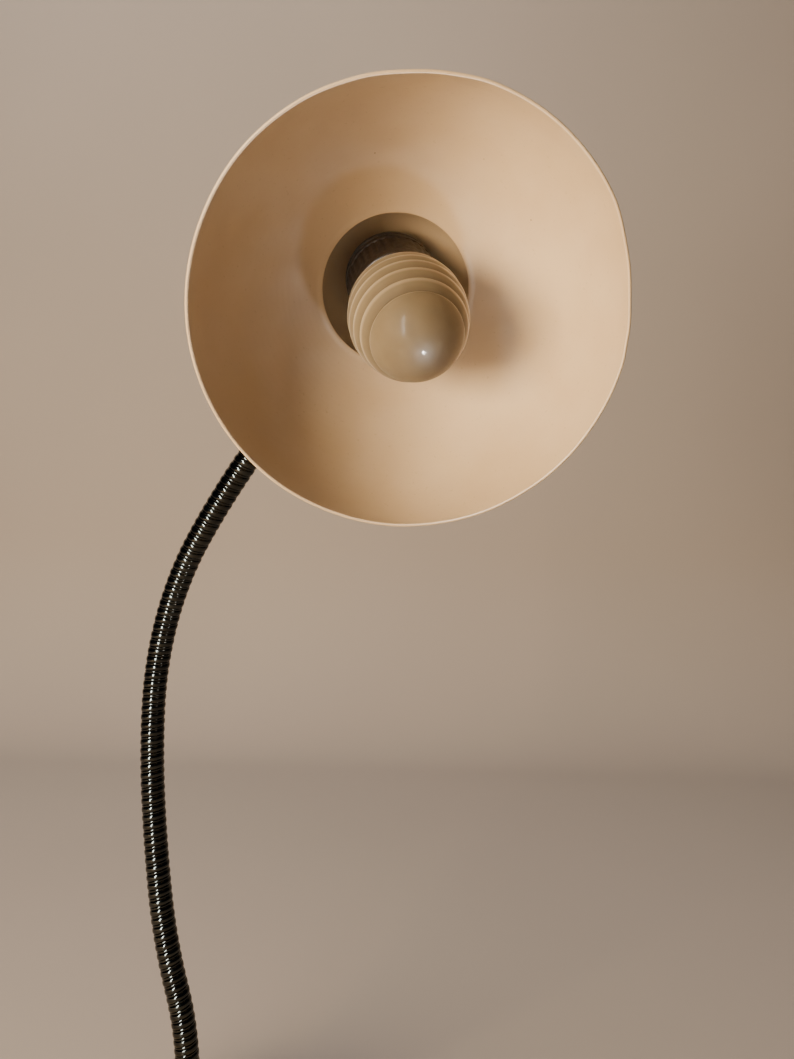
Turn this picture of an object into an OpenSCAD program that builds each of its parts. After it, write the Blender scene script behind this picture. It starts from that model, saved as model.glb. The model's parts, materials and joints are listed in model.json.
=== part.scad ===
// Gooseneck desk lamp: weighted round base, wound flexible arm, round spun shade and E27 bulb.
// The origin is the centre of the base's underside, +Z is up and the shade opens towards -Y.

/* [Base] */
// Diameter of the base cover
base_d = 150; // [140:1:180]
// Gap between the cover and the tallest fitting on the weight
cover_room = 1.7; // [1:0.1:4]
// Radius of the cover's rounded shoulder
shoulder_r = 10; // [6:0.5:12]
// Thickness of the pressed steel cover
cover_t = 1.2; // [0.8:0.1:2]
// Thickness of the felt pad under the base
pad_t = 2; // [1:0.5:3]
// Thickness of the bottom plate
plate_t = 1.5; // [1:0.1:2]
// Thickness of the cast-iron weight
ballast_t = 12; // [10:0.5:12]
// Gap between the weight and the cover's skirt
ballast_gap = 7; // [6:0.5:10]
// Distance of the arm's socket behind the centre of the base
socket_back = 30; // [27:1:34]
// Distance of the three pillars from the centre of the base
pillar_ring_r = 54; // [50:1:55]
// Diameter of a pillar
pillar_d = 9; // [8:0.5:10]
// Thread diameter of the base screws
base_screw_d = 4; // [3:0.5:5]

/* [Switch and wiring] */
// Distance of the switch in front of the centre of the base
switch_front = 36; // [34:1:40]
// Diameter of the switch body below the cover
switch_d = 19; // [18.5:0.5:21]
// Height of the switch bezel above the cover
bezel_t = 2; // [1.6:0.1:3]
// Tilt of the rocker at rest, with its rear edge down
rocker_tilt = 9; // [5:0.5:10]
// Radius of the cord inlet's bore
inlet_r = 3.4; // [2.6:0.1:3.8]
// Compass angle of the cord inlet round the base, from +X
inlet_angle = 135; // [120:1:150]
// Distance from the centre of the base to the cord clamp
clamp_ring_r = 36; // [34:1:40]
// Distance between the ways of the terminal block
way_pitch = 8; // [7:0.5:9]
// Radius of an insulated wire inside the base
wire_r = 0.9; // [0.7:0.05:1.1]

/* [Gooseneck] */
// Outer diameter over the wound turns
neck_d = 12; // [11.6:0.1:14]
// Diameter of the round wire
wire_d = 2.8; // [2.4:0.1:2.8]
// Turns of round wire in one stretch of the arm
turns = 11; // [10:1:11]
// Length of one stretch of the arm
stretch_len = 46; // [44:0.5:48]
// Bend of each stretch in degrees, towards +X and +Y of its own lower end
bends = [[-18, 7], [9, -1], [4, -3], [6, -2], [14, -8], [15, -10], [5, 3], [0.2, 22.5],
    [-8.6, -18]];
// Turns hidden in the socket at each end of the arm
tail_turns = 2; // [1:1:2]
// Height of the lower socket above the cover
socket_h = 22; // [20:0.5:28]
// Wall of the chrome sockets round the gooseneck
socket_wall = 2.4; // [1.6:0.1:3]
// Radius of the lamp lead inside the arm
lead_r = 3; // [2.5:0.1:3.1]

/* [Knuckle] */
// Radius of the ball of the knuckle behind the shade
knuckle_r = 11; // [10:0.5:12]
// Radius of the knuckle's two necks
knuckle_neck_r = 7.5; // [7:0.1:8]
// Length of the neck from the centre of the ball to the washer on the shade's dome
knuckle_neck_len = 16.2; // [15:0.1:20]
// Height of the upper socket
upper_socket_h = 13; // [12:0.5:18]
// Angle that the knuckle turns the arm's direction through
knuckle_turn = 107.8; // [100:0.1:118]
// Compass angle of that turn round the arm
knuckle_side = -67.9; // [-80:0.1:-50]

/* [Shade] */
// Depth of the bowl from the opening behind the bulb to the rim
bowl_depth = 65.7; // [58:0.1:70]
// Radius of the opening behind the bulb and of the domed cap round it
dome_r = 31; // [30:0.5:34]
// Inner radius of the shade at its rim
rim_r = 79; // [74:0.5:84]
// Thickness of the spun sheet
shade_t = 1; // [0.8:0.1:1.5]
// Thickness of the turned edge at the rim
edge_d = 1.3; // [1.2:0.1:3]
// Angle between the shade's axis and the bulb's axis
shade_tilt = 12.4; // [0:0.1:24]
// Compass angle of that tilt round the bulb's axis
tilt_side = -129.1; // [-150:0.1:-110]
// Largest tilt that the slot in the dome allows
slot_reach = 26; // [24:1:30]

/* [Lampholder and bulb] */
// Outer diameter of the lampholder
holder_d = 40; // [38:0.5:41]
// Distance from the dome's centre to the holder's front rim
holder_front = 10.5; // [10:0.5:12]
// Inner radius of the brass screw shell
shell_r = 13.5; // [13.4:0.05:13.8]
// Radius of the bulb's screw cap
cap_r = 13.1; // [12.9:0.05:13.2]
// Length of the bulb's metal cap
cap_len = 21; // [19:0.5:21]
// Distance from the dome's centre to the tip of the glass
bulb_tip = 62; // [60:0.5:66]
// Radius of the glass at its widest ridge
glass_r = 24.2; // [23:0.1:25]
// Thickness of the glass
glass_t = 1; // [0.8:0.1:1.4]
// Number of ridges round the glass
ridges = 5; // [3:1:5]
// Distance between ridges
ridge_pitch = 6.8; // [6:0.1:6.8]
// Depth of the groove between ridges
ridge_depth = 0.9; // [0.5:0.1:1.2]

/* [Fittings] */
// Thread diameter of the hollow nipples
nipple_d = 10; // [9.4:0.1:10.2]
// Radius of the nipples' inner bore
nipple_bore_r = 3.5; // [3.3:0.1:4]
// Width across flats of the nipples' nuts
nut_af = 14; // [13:0.5:15]
// Height of the nipples' nuts
nut_h = 2.6; // [2:0.1:2.8]

/* [Hidden] */
$fn = 48;
cut = 1;
seat = 0.05;
slide_fit = 0.1;
run_fit = 0.3;
thread_fit = 0.02;

// Base levels and radii
base_r = base_d / 2;
ballast_z = pad_t + plate_t;
ballast_top = ballast_z + ballast_t;
block_h = 7.5;
cord_r = inlet_r - 0.2;
clamp_t = 1.2;
fittings_h = max(block_h, 2 * cord_r + clamp_t);
cover_in = ballast_top + fittings_h + cover_room;
base_h = cover_in + cover_t;
skirt_r = base_r - cover_t;
ballast_r = skirt_r - ballast_gap;
plate_r = skirt_r - run_fit;
pad_r = base_r - 4;
screw_r = base_screw_d / 2;
screw_head_t = pad_t / 2 - slide_fit;
screw_depth = 6;

// Cord inlet, clamp and terminal block
inlet_wall = 1.2;
inlet_lip = 1.2;
inlet_lip_r = inlet_r + inlet_wall + inlet_lip;
inlet_lip_t = 1.5;
inlet_out = 3;
inlet_z = ballast_z + inlet_lip_r + slide_fit;
inlet_sag = skirt_r - sqrt(pow(skirt_r, 2) - pow(inlet_lip_r, 2));
inlet_bore_len = inlet_out + cover_t + inlet_lip_t;
channel_w = 2 * inlet_lip_r + 1;
clamp_w = 7;
clamp_foot = 5.5;
clamp_screw_x = cord_r + clamp_t + clamp_foot / 2;
small_screw_r = 1.4;
small_head_r = 2.4;
small_head_t = 1.2;
block_l = 13;
block_w = 3 * way_pitch;
way_z = ballast_top + 2.4;
wire_steps = 12;
earth_x = way_pitch + 12;

// Switch
pivot_z = base_h - 2;
pivot_r = 1.4;
rocker_w = 8.6;
rocker_half = 6.3;
rocker_top = bezel_t + 3.2;
switch_len = 14;
tab_w = 4;
tab_t = 0.8;
tab_x = way_pitch / 2;
tab_in = 4;
tab_out = 5;

// Gooseneck
stretches = len(bends);
turn_step = stretch_len / turns;
tail = tail_turns * turn_step;
neck_r = neck_d / 2;
ring_r = (neck_d - wire_d) / 2;
neck_start = base_h + socket_h;
wedge_out = neck_r - wire_d / 8;
wedge_in = ring_r - wire_d / 6;
wedge_tip = 0.15;
wedge_half = (turn_step - wire_d) / 2 + wedge_tip;
lead_gap = 1;
core_r = lead_r - 0.4;
socket_bore = neck_r + 0.15;
socket_r = socket_bore + socket_wall;
flange_r = socket_r + 6;
flange_t = 2.5;

// Nipples, washers and nuts
nipple_r = nipple_d / 2;
nut_r = nut_af / 2 / cos(30);
washer_t = 1.5;
washer_r = nut_r + 1.5;
lower_nut_z = cover_in - washer_t - nut_h;
lower_shoulder = neck_start - tail - slide_fit;
nut_pocket_r = nut_r + 4;

// Shade and its dome seat, measured along the shade's axis from the dome's centre
dome_out = dome_r + shade_t;
rim_z = bowl_depth;
bowl_z = (pow(rim_r, 2) + pow(rim_z, 2) - pow(dome_r, 2)) / (2 * rim_z);
bowl_r = sqrt(pow(dome_r, 2) + pow(bowl_z, 2));
slot_half = nipple_r + run_fit;

// Head fittings, measured along the bulb's axis from the dome's centre
seat_r = nipple_r + 5.5;
seat_back = -dome_out - 1.8;
dish_r = dome_r - slide_fit;
dish_t = 1.6;
upper_nut_z = seat - sqrt(pow(dish_r - dish_t, 2) - pow(nut_r, 2));
holder_r = holder_d / 2;
holder_wall = 2;
holder_back = upper_nut_z + nut_h + seat;
holder_curve = sqrt(pow(holder_back, 2) + pow(nut_r, 2));
holder_split = -12;
neck_thread = 3.4;
insert_r = 15;
insert_z = holder_back + neck_thread + 2.6;
insert_t = 2.5;
insert_top = 4;
stop_t = 1.4;
stop_lip = 0.6;
mouth_t = 1.6;
mouth_lip = 1.6;
shell_t = 0.4;
shell_z = insert_z + insert_t;
terminal_x = 9;
cap_front = holder_front - 0.5;
cap_back = cap_front - cap_len;
insulator_len = 3;
contact_len = 1;
contact_r = 5;
contact_back = cap_back - insulator_len - contact_len;
neck_glass_r = cap_r - shell_t - seat;
neck_glass_z = 2;
filament_r = 0.35;

// Knuckle and upper socket, measured from the centre of the ball. The socket's foot clears the
// washer on the dome, and the two nipples end where they clear each other.
head_reach = knuckle_neck_len - seat_back;
hollow_r = knuckle_r - 3.5;
upper_foot_r = socket_r + 1;
fold = 180 - knuckle_turn;
foot_clear = (seat_r + upper_foot_r * cos(fold) + run_fit) / sin(fold);
knuckle_port = max(knuckle_r + flange_t, foot_clear);
knuckle_reach = knuckle_port + upper_socket_h;
upper_shoulder = upper_socket_h - tail - slide_fit;
thread_in = max(hollow_r, (nipple_r + run_fit) / tan(fold / 2));

// Glass outline: a barrel with ridges, closed by a round dome
barrel_r = 38;
widest_z = 29;
first_ridge = 17.6;
barrel_end = first_ridge + ridges * ridge_pitch;
ridge_steps = 8;
dome_steps = 12;

function numbered(stem, k) = str(stem, k < 10 ? "0" : "", k);
coil_names = [for (k = [1:stretches]) numbered("gooseneck_coil_", k)];
lead_names = [for (k = [1:stretches]) numbered("lamp_lead_", k)];

function bend_angle(k) = norm(bends[k]);
function bend_side(k) = atan2(bends[k][1], bends[k][0]);
function bend_radius(k) = stretch_len / (bend_angle(k) * PI / 180);

// ---- placing ----------------------------------------------------------------------------------

// Moves to the far end of an arc that bends by an angle towards a compass side.
module bend_over(radius, angle, side) {
    rotate([0, 0, side]) translate([radius, 0, 0]) rotate([0, angle, 0])
        translate([-radius, 0, 0]) rotate([0, 0, -side]) children();
}

// Moves to the lower end of stretch k of the arm, counted from 0.
module stretch_start(k) {
    if (k <= 0)
        translate([0, socket_back, neck_start]) children();
    else
        stretch_start(k - 1)
            bend_over(bend_radius(k - 1), bend_angle(k - 1), bend_side(k - 1)) children();
}

// Moves to distance s along stretch k. Before its start or past its end the arm runs straight.
module along(k, s) {
    inside = min(max(s, 0), stretch_len);
    stretch_start(k)
        bend_over(bend_radius(k), bend_angle(k) * inside / stretch_len, bend_side(k))
            translate([0, 0, s - inside]) children();
}

// Moves to the centre of the knuckle's ball, with +Z along the arm's last direction.
module knuckle_frame() {
    along(stretches - 1, stretch_len + knuckle_reach) children();
}

// Moves to the centre of the shade's dome, with +Z along the bulb towards its tip.
module head() {
    knuckle_frame() rotate([0, 0, knuckle_side]) rotate([0, knuckle_turn, 0])
        translate([0, 0, head_reach]) children();
}

// Moves to the shade's own frame, with +Z along its axis towards its mouth.
module shade_frame() {
    head() rotate([0, 0, tilt_side]) rotate([0, shade_tilt, 0]) children();
}

// Moves to each of the three screws and pillars of the base.
module at_pillars() {
    for (angle = [-60, 60, 180]) rotate([0, 0, angle]) translate([pillar_ring_r, 0, 0]) children();
}

// Moves to the cover's skirt at the cord inlet, with +Z pointing outwards.
module inlet_frame() {
    rotate([0, 0, inlet_angle]) translate([base_r, 0, inlet_z]) rotate([0, 90, 0]) children();
}

// ---- shared shapes ----------------------------------------------------------------------------

// A ring or tube between two heights.
module tube(r_out, r_in, z0, z1) {
    difference() {
        translate([0, 0, z0]) cylinder(r = r_out, h = z1 - z0);
        translate([0, 0, z0 - cut]) cylinder(r = r_in, h = z1 - z0 + 2 * cut);
    }
}

// A hollow threaded nipple between two heights.
module nipple(z0, z1) {
    tube(nipple_r, nipple_bore_r, z0, z1);
}

// A hexagonal nut on a nipple.
module nipple_nut(z) {
    difference() {
        translate([0, 0, z]) cylinder(r = nut_r, h = nut_h, $fn = 6);
        translate([0, 0, z - cut]) cylinder(r = nipple_r + thread_fit, h = nut_h + 2 * cut);
    }
}

// A turned socket: a flange that sweeps in to a sleeve round the end of the gooseneck.
module socket(h, foot_r, shoulder) {
    sweep_r = foot_r - socket_r;
    difference() {
        rotate_extrude($fn = 96) {
            square([foot_r, flange_t]);
            square([socket_r, h]);
            difference() {
                square([foot_r, flange_t + sweep_r]);
                translate([foot_r, flange_t + sweep_r]) circle(r = sweep_r);
            }
        }
        translate([0, 0, -cut]) cylinder(r = nipple_r + thread_fit, h = h + 2 * cut);
        translate([0, 0, shoulder]) cylinder(r = socket_bore, h = h);
    }
}

// A slotted round-head screw with its head upwards, seated at height 0.
module small_screw(depth) {
    difference() {
        cylinder(r = small_head_r, h = small_head_t);
        translate([-small_head_r - cut, -0.3, small_head_t / 2])
            cube([2 * (small_head_r + cut), 0.6, small_head_t]);
    }
    translate([0, 0, -depth]) cylinder(r = small_screw_r - slide_fit, h = depth);
}

function bezier(p, t) = pow(1 - t, 3) * p[0] + 3 * pow(1 - t, 2) * t * p[1]
    + 3 * (1 - t) * t * t * p[2] + pow(t, 3) * p[3];
function bezier_slope(p, t) = pow(1 - t, 2) * (p[1] - p[0])
    + 2 * (1 - t) * t * (p[2] - p[1]) + t * t * (p[3] - p[2]);
function unit(v) = v / norm(v);

// An insulated wire swept along a curve, as one closed solid. The curve is a chain of parts with
// four control points each, where a part's last point is the next one's first.
module wire(chain) {
    sides = 8;
    parts = (len(chain) - 1) / 3;
    steps = parts * wire_steps;
    points = [for (i = [0:steps])
        let (part = min(floor(i / wire_steps), parts - 1), t = i / wire_steps - part,
            p = [for (j = [0:3]) chain[3 * part + j]], u = unit(bezier_slope(p, t)),
            a = unit(cross([0.3, 0.2, 1], u)), b = cross(u, a))
        for (j = [0:sides - 1]) bezier(p, t)
            + wire_r * (cos(360 * j / sides) * a + sin(360 * j / sides) * b)];
    walls = [for (i = [0:steps - 1]) for (j = [0:sides - 1]) let (n = (j + 1) % sides)
        [i * sides + j, (i + 1) * sides + j, (i + 1) * sides + n, i * sides + n]];
    ends = [[for (j = [0:sides - 1]) j], [for (j = [sides - 1:-1:0]) steps * sides + j]];
    polyhedron(points = points, faces = concat(walls, ends));
}

// ---- base -------------------------------------------------------------------------------------

module base_pad() {
    color([0.16, 0.17, 0.16]) difference() {
        cylinder(r = pad_r, h = pad_t, $fn = 96);
        at_pillars() translate([0, 0, -cut])
            cylinder(r = 2 * screw_r + run_fit, h = pad_t + 2 * cut);
    }
}

module bottom_plate() {
    color([0.45, 0.46, 0.47]) translate([0, 0, pad_t]) difference() {
        cylinder(r = plate_r, h = plate_t, $fn = 96);
        at_pillars() translate([0, 0, -cut]) cylinder(r = screw_r + run_fit, h = plate_t + 2 * cut);
    }
}

module base_screws() {
    color([0.72, 0.73, 0.74]) at_pillars() {
        difference() {
            translate([0, 0, pad_t - screw_head_t]) cylinder(r = 2 * screw_r, h = screw_head_t);
            translate([-2 * screw_r, -0.4, 0]) cube([4 * screw_r, 0.8, pad_t - screw_head_t / 2]);
        }
        translate([0, 0, pad_t]) cylinder(r = screw_r, h = ballast_top + screw_depth - pad_t);
    }
}

module ballast_weight() {
    through = ballast_t + 2 * cut;
    color([0.2, 0.2, 0.21]) translate([0, 0, ballast_z]) difference() {
        cylinder(r = ballast_r, h = ballast_t, $fn = 96);
        at_pillars() translate([0, 0, -cut]) cylinder(r = screw_r + run_fit, h = through);
        translate([0, socket_back, -cut]) cylinder(r = nut_pocket_r, h = through);
        translate([0, -switch_front, -cut]) cylinder(r = switch_d / 2 + 2.5, h = through);
        rotate([0, 0, inlet_angle]) translate([clamp_ring_r + clamp_w, -channel_w / 2, -cut])
            cube([ballast_r, channel_w, through]);
        at_ballast_screws() translate([0, 0, ballast_t - 5]) cylinder(r = small_screw_r, h = 6);
    }
}

// Moves to the clamp's two screws and the earth screw, seen from above the weight.
module at_ballast_screws() {
    rotate([0, 0, inlet_angle]) for (side = [-1, 1])
        translate([clamp_ring_r, side * clamp_screw_x, 0]) children();
    translate([earth_x, 0, 0]) children();
}

// Outline of the pressed cover, moved inwards by a distance.
module cover_outline(inset) {
    r = base_r - inset;
    h = base_h - inset;
    round_r = shoulder_r - inset;
    square([r, h - round_r]);
    square([r - round_r, h]);
    translate([r - round_r, h - round_r]) circle(r = round_r);
}

module base_cover() {
    color([0.93, 0.84, 0.68]) difference() {
        rotate_extrude($fn = 96) intersection() {
            difference() {
                cover_outline(0);
                cover_outline(cover_t);
            }
            translate([0, pad_t]) square([base_r + cut, base_h]);
        }
        translate([0, socket_back, cover_in - cut])
            cylinder(r = nipple_r + slide_fit, h = cover_t + 2 * cut);
        translate([0, -switch_front, cover_in - cut])
            cylinder(r = switch_d / 2 + slide_fit, h = cover_t + 2 * cut);
        inlet_frame() translate([0, 0, -cover_t - cut])
            cylinder(r = inlet_r + inlet_wall + slide_fit, h = cover_t + 2 * cut);
    }
}

module cover_pillars() {
    color([0.75, 0.76, 0.77]) at_pillars() difference() {
        translate([0, 0, ballast_top]) cylinder(r = pillar_d / 2, h = cover_in - ballast_top);
        translate([0, 0, ballast_top - cut])
            cylinder(r = screw_r + thread_fit, h = screw_depth + cut + 0.5);
    }
}

module cord_inlet() {
    color([0.13, 0.13, 0.13]) inlet_frame() difference() {
        union() {
            translate([0, 0, -cover_t - inlet_lip_t])
                cylinder(r = inlet_r + inlet_wall, h = inlet_bore_len);
            translate([0, 0, -cover_t - inlet_lip_t])
                cylinder(r = inlet_lip_r, h = inlet_lip_t - inlet_sag - seat);
            translate([0, 0, seat]) cylinder(r = inlet_lip_r, h = inlet_lip_t);
        }
        translate([0, 0, -cover_t - inlet_lip_t - cut])
            cylinder(r = inlet_r, h = inlet_bore_len + 2 * cut);
    }
}

module cord_clamp() {
    arch = cord_r + clamp_t;
    color([0.72, 0.73, 0.74]) rotate([0, 0, inlet_angle])
        translate([clamp_ring_r, 0, ballast_top]) rotate([90, 0, 90])
            translate([0, 0, -clamp_w / 2]) difference() {
                linear_extrude(height = clamp_w) difference() {
                    union() {
                        translate([0, cord_r]) circle(r = arch);
                        translate([-arch, 0]) square([2 * arch, cord_r]);
                        translate([-arch - clamp_foot, 0])
                            square([2 * (arch + clamp_foot), clamp_t]);
                    }
                    translate([0, cord_r]) circle(r = cord_r);
                    translate([-cord_r, -arch]) square([2 * cord_r, cord_r + arch]);
                }
                for (side = [-1, 1]) translate([side * clamp_screw_x, -cut, clamp_w / 2])
                    rotate([-90, 0, 0]) cylinder(r = small_screw_r, h = clamp_t + 2 * cut);
            }
}

module ballast_screws() {
    color([0.8, 0.7, 0.4]) at_ballast_screws()
        translate([0, 0, ballast_top + clamp_t + seat]) small_screw(clamp_t + 4);
}

// Moves to each of the three ways of the terminal block.
module at_ways() {
    for (way = [-1:1]) translate([way * way_pitch, 0, 0]) children();
}

module terminal_block() {
    color([0.9, 0.9, 0.88]) translate([0, 0, ballast_top]) difference() {
        translate([-block_w / 2, -block_l / 2, 0]) cube([block_w, block_l, block_h]);
        at_ways() {
            translate([0, block_l / 2 + cut, way_z - ballast_top]) rotate([90, 0, 0])
                cylinder(r = wire_r + 0.4, h = block_l + 2 * cut);
            for (end = [-1, 1]) translate([0, end * block_l / 4, way_z - ballast_top])
                cylinder(r = 1.8, h = block_h);
        }
        for (gap = [-1, 1]) translate([gap * way_pitch / 2 - 0.8, -block_l / 2 - cut, 5])
            cube([1.6, block_l + 2 * cut, block_h]);
    }
}

module terminal_screws() {
    color([0.8, 0.7, 0.4]) at_ways() for (end = [-1, 1])
        translate([0, end * block_l / 4, 0]) difference() {
            translate([0, 0, way_z + wire_r + seat])
                cylinder(r = 1.7, h = ballast_top + block_h - way_z - wire_r - 1);
            translate([-2, -0.3, ballast_top + block_h - 1.6]) cube([4, 0.6, cut]);
        }
}

// Wires from the terminal block to the arm, to the switch and to the earth screw.
module base_leads() {
    grip = block_l / 2 - 3;
    front = -switch_front + switch_d / 2 + tab_out;
    exit_z = lower_nut_z - seat;
    color([0.3, 0.32, 0.5]) {
        for (way = [-1:1])
            wire([[way * way_pitch, grip, way_z], [way * way_pitch, grip + 12, way_z],
                [way * 2.1, socket_back, way_z - 3], [way * 2.1, socket_back, exit_z]]);
        for (way = [-1, 0])
            wire([[way * way_pitch, -grip, way_z], [way * way_pitch, -grip - 7, way_z],
                [(2 * way + 1) * tab_x, front + 4, way_z], [(2 * way + 1) * tab_x, front, way_z]]);
        wire([[way_pitch, -grip, way_z], [way_pitch, -grip - 12, way_z],
            [earth_x, -grip - 9, way_z], [earth_x, -small_head_r - slide_fit, way_z - 1]]);
    }
}

module switch_body() {
    body_r = switch_d / 2;
    slot_w = rocker_w + 2 * slide_fit;
    slot_l = 2 * (rocker_half + 0.2);
    color([0.1, 0.1, 0.1]) translate([0, -switch_front, 0]) difference() {
        union() {
            translate([0, 0, base_h + seat]) cylinder(r = body_r + 2, h = bezel_t);
            translate([0, 0, base_h - switch_len]) cylinder(r = body_r, h = switch_len + bezel_t);
        }
        translate([-slot_w / 2, -slot_l / 2, pivot_z - 5]) cube([slot_w, slot_l, switch_len]);
        translate([-rocker_w / 2 - 2, 0, pivot_z]) rotate([0, 90, 0])
            cylinder(r = pivot_r + slide_fit, h = rocker_w + 4);
        for (side = [-1, 1])
            translate([side * tab_x - tab_w / 2 - seat, body_r - tab_in, way_z - tab_t / 2 - seat])
                cube([tab_w + 2 * seat, tab_in + cut, tab_t + 2 * seat]);
    }
}

module switch_rocker() {
    color([0.86, 0.12, 0.1]) translate([0, -switch_front, pivot_z]) rotate([-rocker_tilt, 0, 0]) {
        translate([-rocker_w / 2, 0, 0]) rotate([90, 0, 90]) linear_extrude(height = rocker_w)
            polygon([[-5.6, -3], [5.6, -3], [rocker_half, 0], [5.2, rocker_top - 0.9], [0, rocker_top],
                [-5.2, rocker_top - 0.9], [-rocker_half, 0]]);
        translate([-rocker_w / 2 - 1.5, 0, 0]) rotate([0, 90, 0])
            cylinder(r = pivot_r, h = rocker_w + 3);
    }
}

module switch_tabs() {
    start_y = -switch_front + switch_d / 2 - tab_in + seat;
    color([0.8, 0.7, 0.4]) for (side = [-1, 1])
        translate([side * tab_x - tab_w / 2, start_y, way_z - tab_t / 2])
            cube([tab_w, tab_out + tab_in - 2 * seat, tab_t]);
}

module lower_socket() {
    color([0.75, 0.76, 0.78]) translate([0, socket_back, base_h])
        socket(socket_h, flange_r, lower_shoulder - base_h);
}

module lower_nipple() {
    color([0.62, 0.63, 0.65]) translate([0, socket_back, 0]) nipple(lower_nut_z, lower_shoulder);
}

module lower_washer() {
    color([0.7, 0.71, 0.73]) translate([0, socket_back, 0])
        tube(washer_r, nipple_r + slide_fit, cover_in - washer_t, cover_in);
}

module lower_nut() {
    color([0.7, 0.71, 0.73]) translate([0, socket_back, 0]) nipple_nut(lower_nut_z);
}

// ---- gooseneck --------------------------------------------------------------------------------

// One turn of the round wire.
module round_turn() {
    rotate_extrude() translate([ring_r, 0]) circle(d = wire_d);
}

// One turn of the three-sided wire that is wound into the groove between two round turns.
module wedge_turn() {
    rotate_extrude() polygon([[wedge_in, -wedge_tip], [wedge_out, -wedge_half],
        [wedge_out, wedge_half], [wedge_in, wedge_tip]]);
}

// The wound turns of stretch k, with the hidden tail turns at the two ends of the arm.
module gooseneck_coil(k) {
    first = k == 0 ? -tail_turns : 0;
    last = k == stretches - 1 ? turns + tail_turns : turns;
    color([0.55, 0.56, 0.58]) {
        for (i = [first:last - 1]) along(k, (i + 0.5) * turn_step) round_turn();
        for (i = [first + 1:last - 1]) along(k, i * turn_step) wedge_turn();
    }
}

// The sheathed lamp lead inside stretch k. Its bare cores go on through the nipples at both ends.
module lamp_lead(k) {
    from = k == 0 ? 0 : lead_gap / 2;
    to = k == stretches - 1 ? stretch_len : stretch_len - lead_gap / 2;
    color([0.2, 0.2, 0.2]) {
        along(k, from) rotate([0, 0, bend_side(k)]) translate([bend_radius(k), 0, 0])
            rotate([90, 0, 180]) rotate_extrude(angle = bend_angle(k) * (to - from) / stretch_len)
                translate([bend_radius(k), 0]) circle(r = lead_r);
        if (k == 0) translate([0, socket_back, lower_nut_z + seat])
            cylinder(r = core_r, h = neck_start - lower_nut_z - seat);
        if (k == stretches - 1) along(k, stretch_len)
            cylinder(r = core_r, h = knuckle_reach - thread_in);
    }
}

// ---- head -------------------------------------------------------------------------------------

module upper_socket() {
    color([0.75, 0.76, 0.78]) knuckle_frame() translate([0, 0, -knuckle_port]) rotate([180, 0, 0])
        socket(upper_socket_h, upper_foot_r, upper_shoulder);
}

module arm_nipple() {
    color([0.62, 0.63, 0.65]) knuckle_frame()
        nipple(-knuckle_port - upper_shoulder, -thread_in);
}

// Hollow ball with a neck towards the arm and a neck towards the shade's dome.
module knuckle() {
    bore_r = nipple_r + thread_fit;
    color([0.75, 0.76, 0.78]) difference() {
        union() {
            knuckle_frame() sphere(r = knuckle_r, $fn = 96);
            knuckle_frame() translate([0, 0, -knuckle_port])
                cylinder(r = knuckle_neck_r, h = knuckle_port);
            head() translate([0, 0, -head_reach])
                cylinder(r = knuckle_neck_r, h = head_reach + seat_back);
        }
        knuckle_frame() sphere(r = hollow_r);
        knuckle_frame() translate([0, 0, -knuckle_port - cut])
            cylinder(r = bore_r, h = knuckle_port + cut - thread_in / 2);
        head() translate([0, 0, thread_in / 2 - head_reach])
            cylinder(r = bore_r, h = head_reach + seat_back - thread_in / 2 + cut);
    }
}

module upper_nipple() {
    color([0.62, 0.63, 0.65]) head() nipple(thread_in - head_reach, holder_back + neck_thread);
}

// Cup washer that the dome of the shade turns in, outside the dome.
module outer_dome_seat() {
    color([0.75, 0.76, 0.78]) head() difference() {
        translate([0, 0, seat_back]) cylinder(r = seat_r, h = dome_r / 2);
        sphere(r = dome_out + slide_fit, $fn = 96);
        translate([0, 0, seat_back - cut]) cylinder(r = nipple_r + slide_fit, h = dome_r);
    }
}

// Dished washer that bears on the inside of the dome.
module inner_dome_seat() {
    color([0.7, 0.71, 0.73]) head() intersection() {
        difference() {
            sphere(r = dish_r, $fn = 96);
            sphere(r = dish_r - dish_t, $fn = 96);
        }
        tube(seat_r, nipple_r + slide_fit, -dome_out, 0);
    }
}

module upper_nut() {
    color([0.7, 0.71, 0.73]) head() nipple_nut(upper_nut_z);
}

module holder_cap() {
    color([0.12, 0.11, 0.1]) head() difference() {
        intersection() {
            sphere(r = holder_curve, $fn = 96);
            translate([0, 0, holder_back]) cylinder(r = holder_r, h = holder_split - holder_back);
        }
        intersection() {
            sphere(r = holder_curve - holder_wall, $fn = 96);
            translate([0, 0, holder_back + neck_thread])
                cylinder(r = holder_r - holder_wall, h = holder_split - holder_back);
        }
        translate([0, 0, holder_back - cut])
            cylinder(r = nipple_r + thread_fit, h = neck_thread + 2 * cut);
    }
}

module holder_body() {
    bore = holder_r - holder_wall;
    color([0.12, 0.11, 0.1]) head() difference() {
        translate([0, 0, holder_split]) cylinder(r = holder_r, h = holder_front - holder_split);
        translate([0, 0, holder_split - cut]) cylinder(r = bore, h = insert_top - holder_split + cut);
        translate([0, 0, insert_top - cut])
            cylinder(r = insert_r - stop_lip, h = stop_t + 2 * cut);
        translate([0, 0, insert_top + stop_t])
            cylinder(r = bore, h = holder_front - mouth_t - insert_top - stop_t);
        translate([0, 0, holder_front - mouth_t - cut])
            cylinder(r = bore - mouth_lip, h = mouth_t + 2 * cut);
    }
}

module holder_insert() {
    color([0.9, 0.88, 0.84]) head() difference() {
        translate([0, 0, insert_z]) cylinder(r = insert_r, h = insert_top - insert_z - seat);
        translate([0, 0, shell_z])
            cylinder(r = shell_r + shell_t + seat, h = insert_top - shell_z);
        for (side = [-1, 1]) translate([side * terminal_x, 0, insert_z - cut])
            cylinder(r = small_screw_r, h = insert_t + 2 * cut);
    }
}

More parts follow.
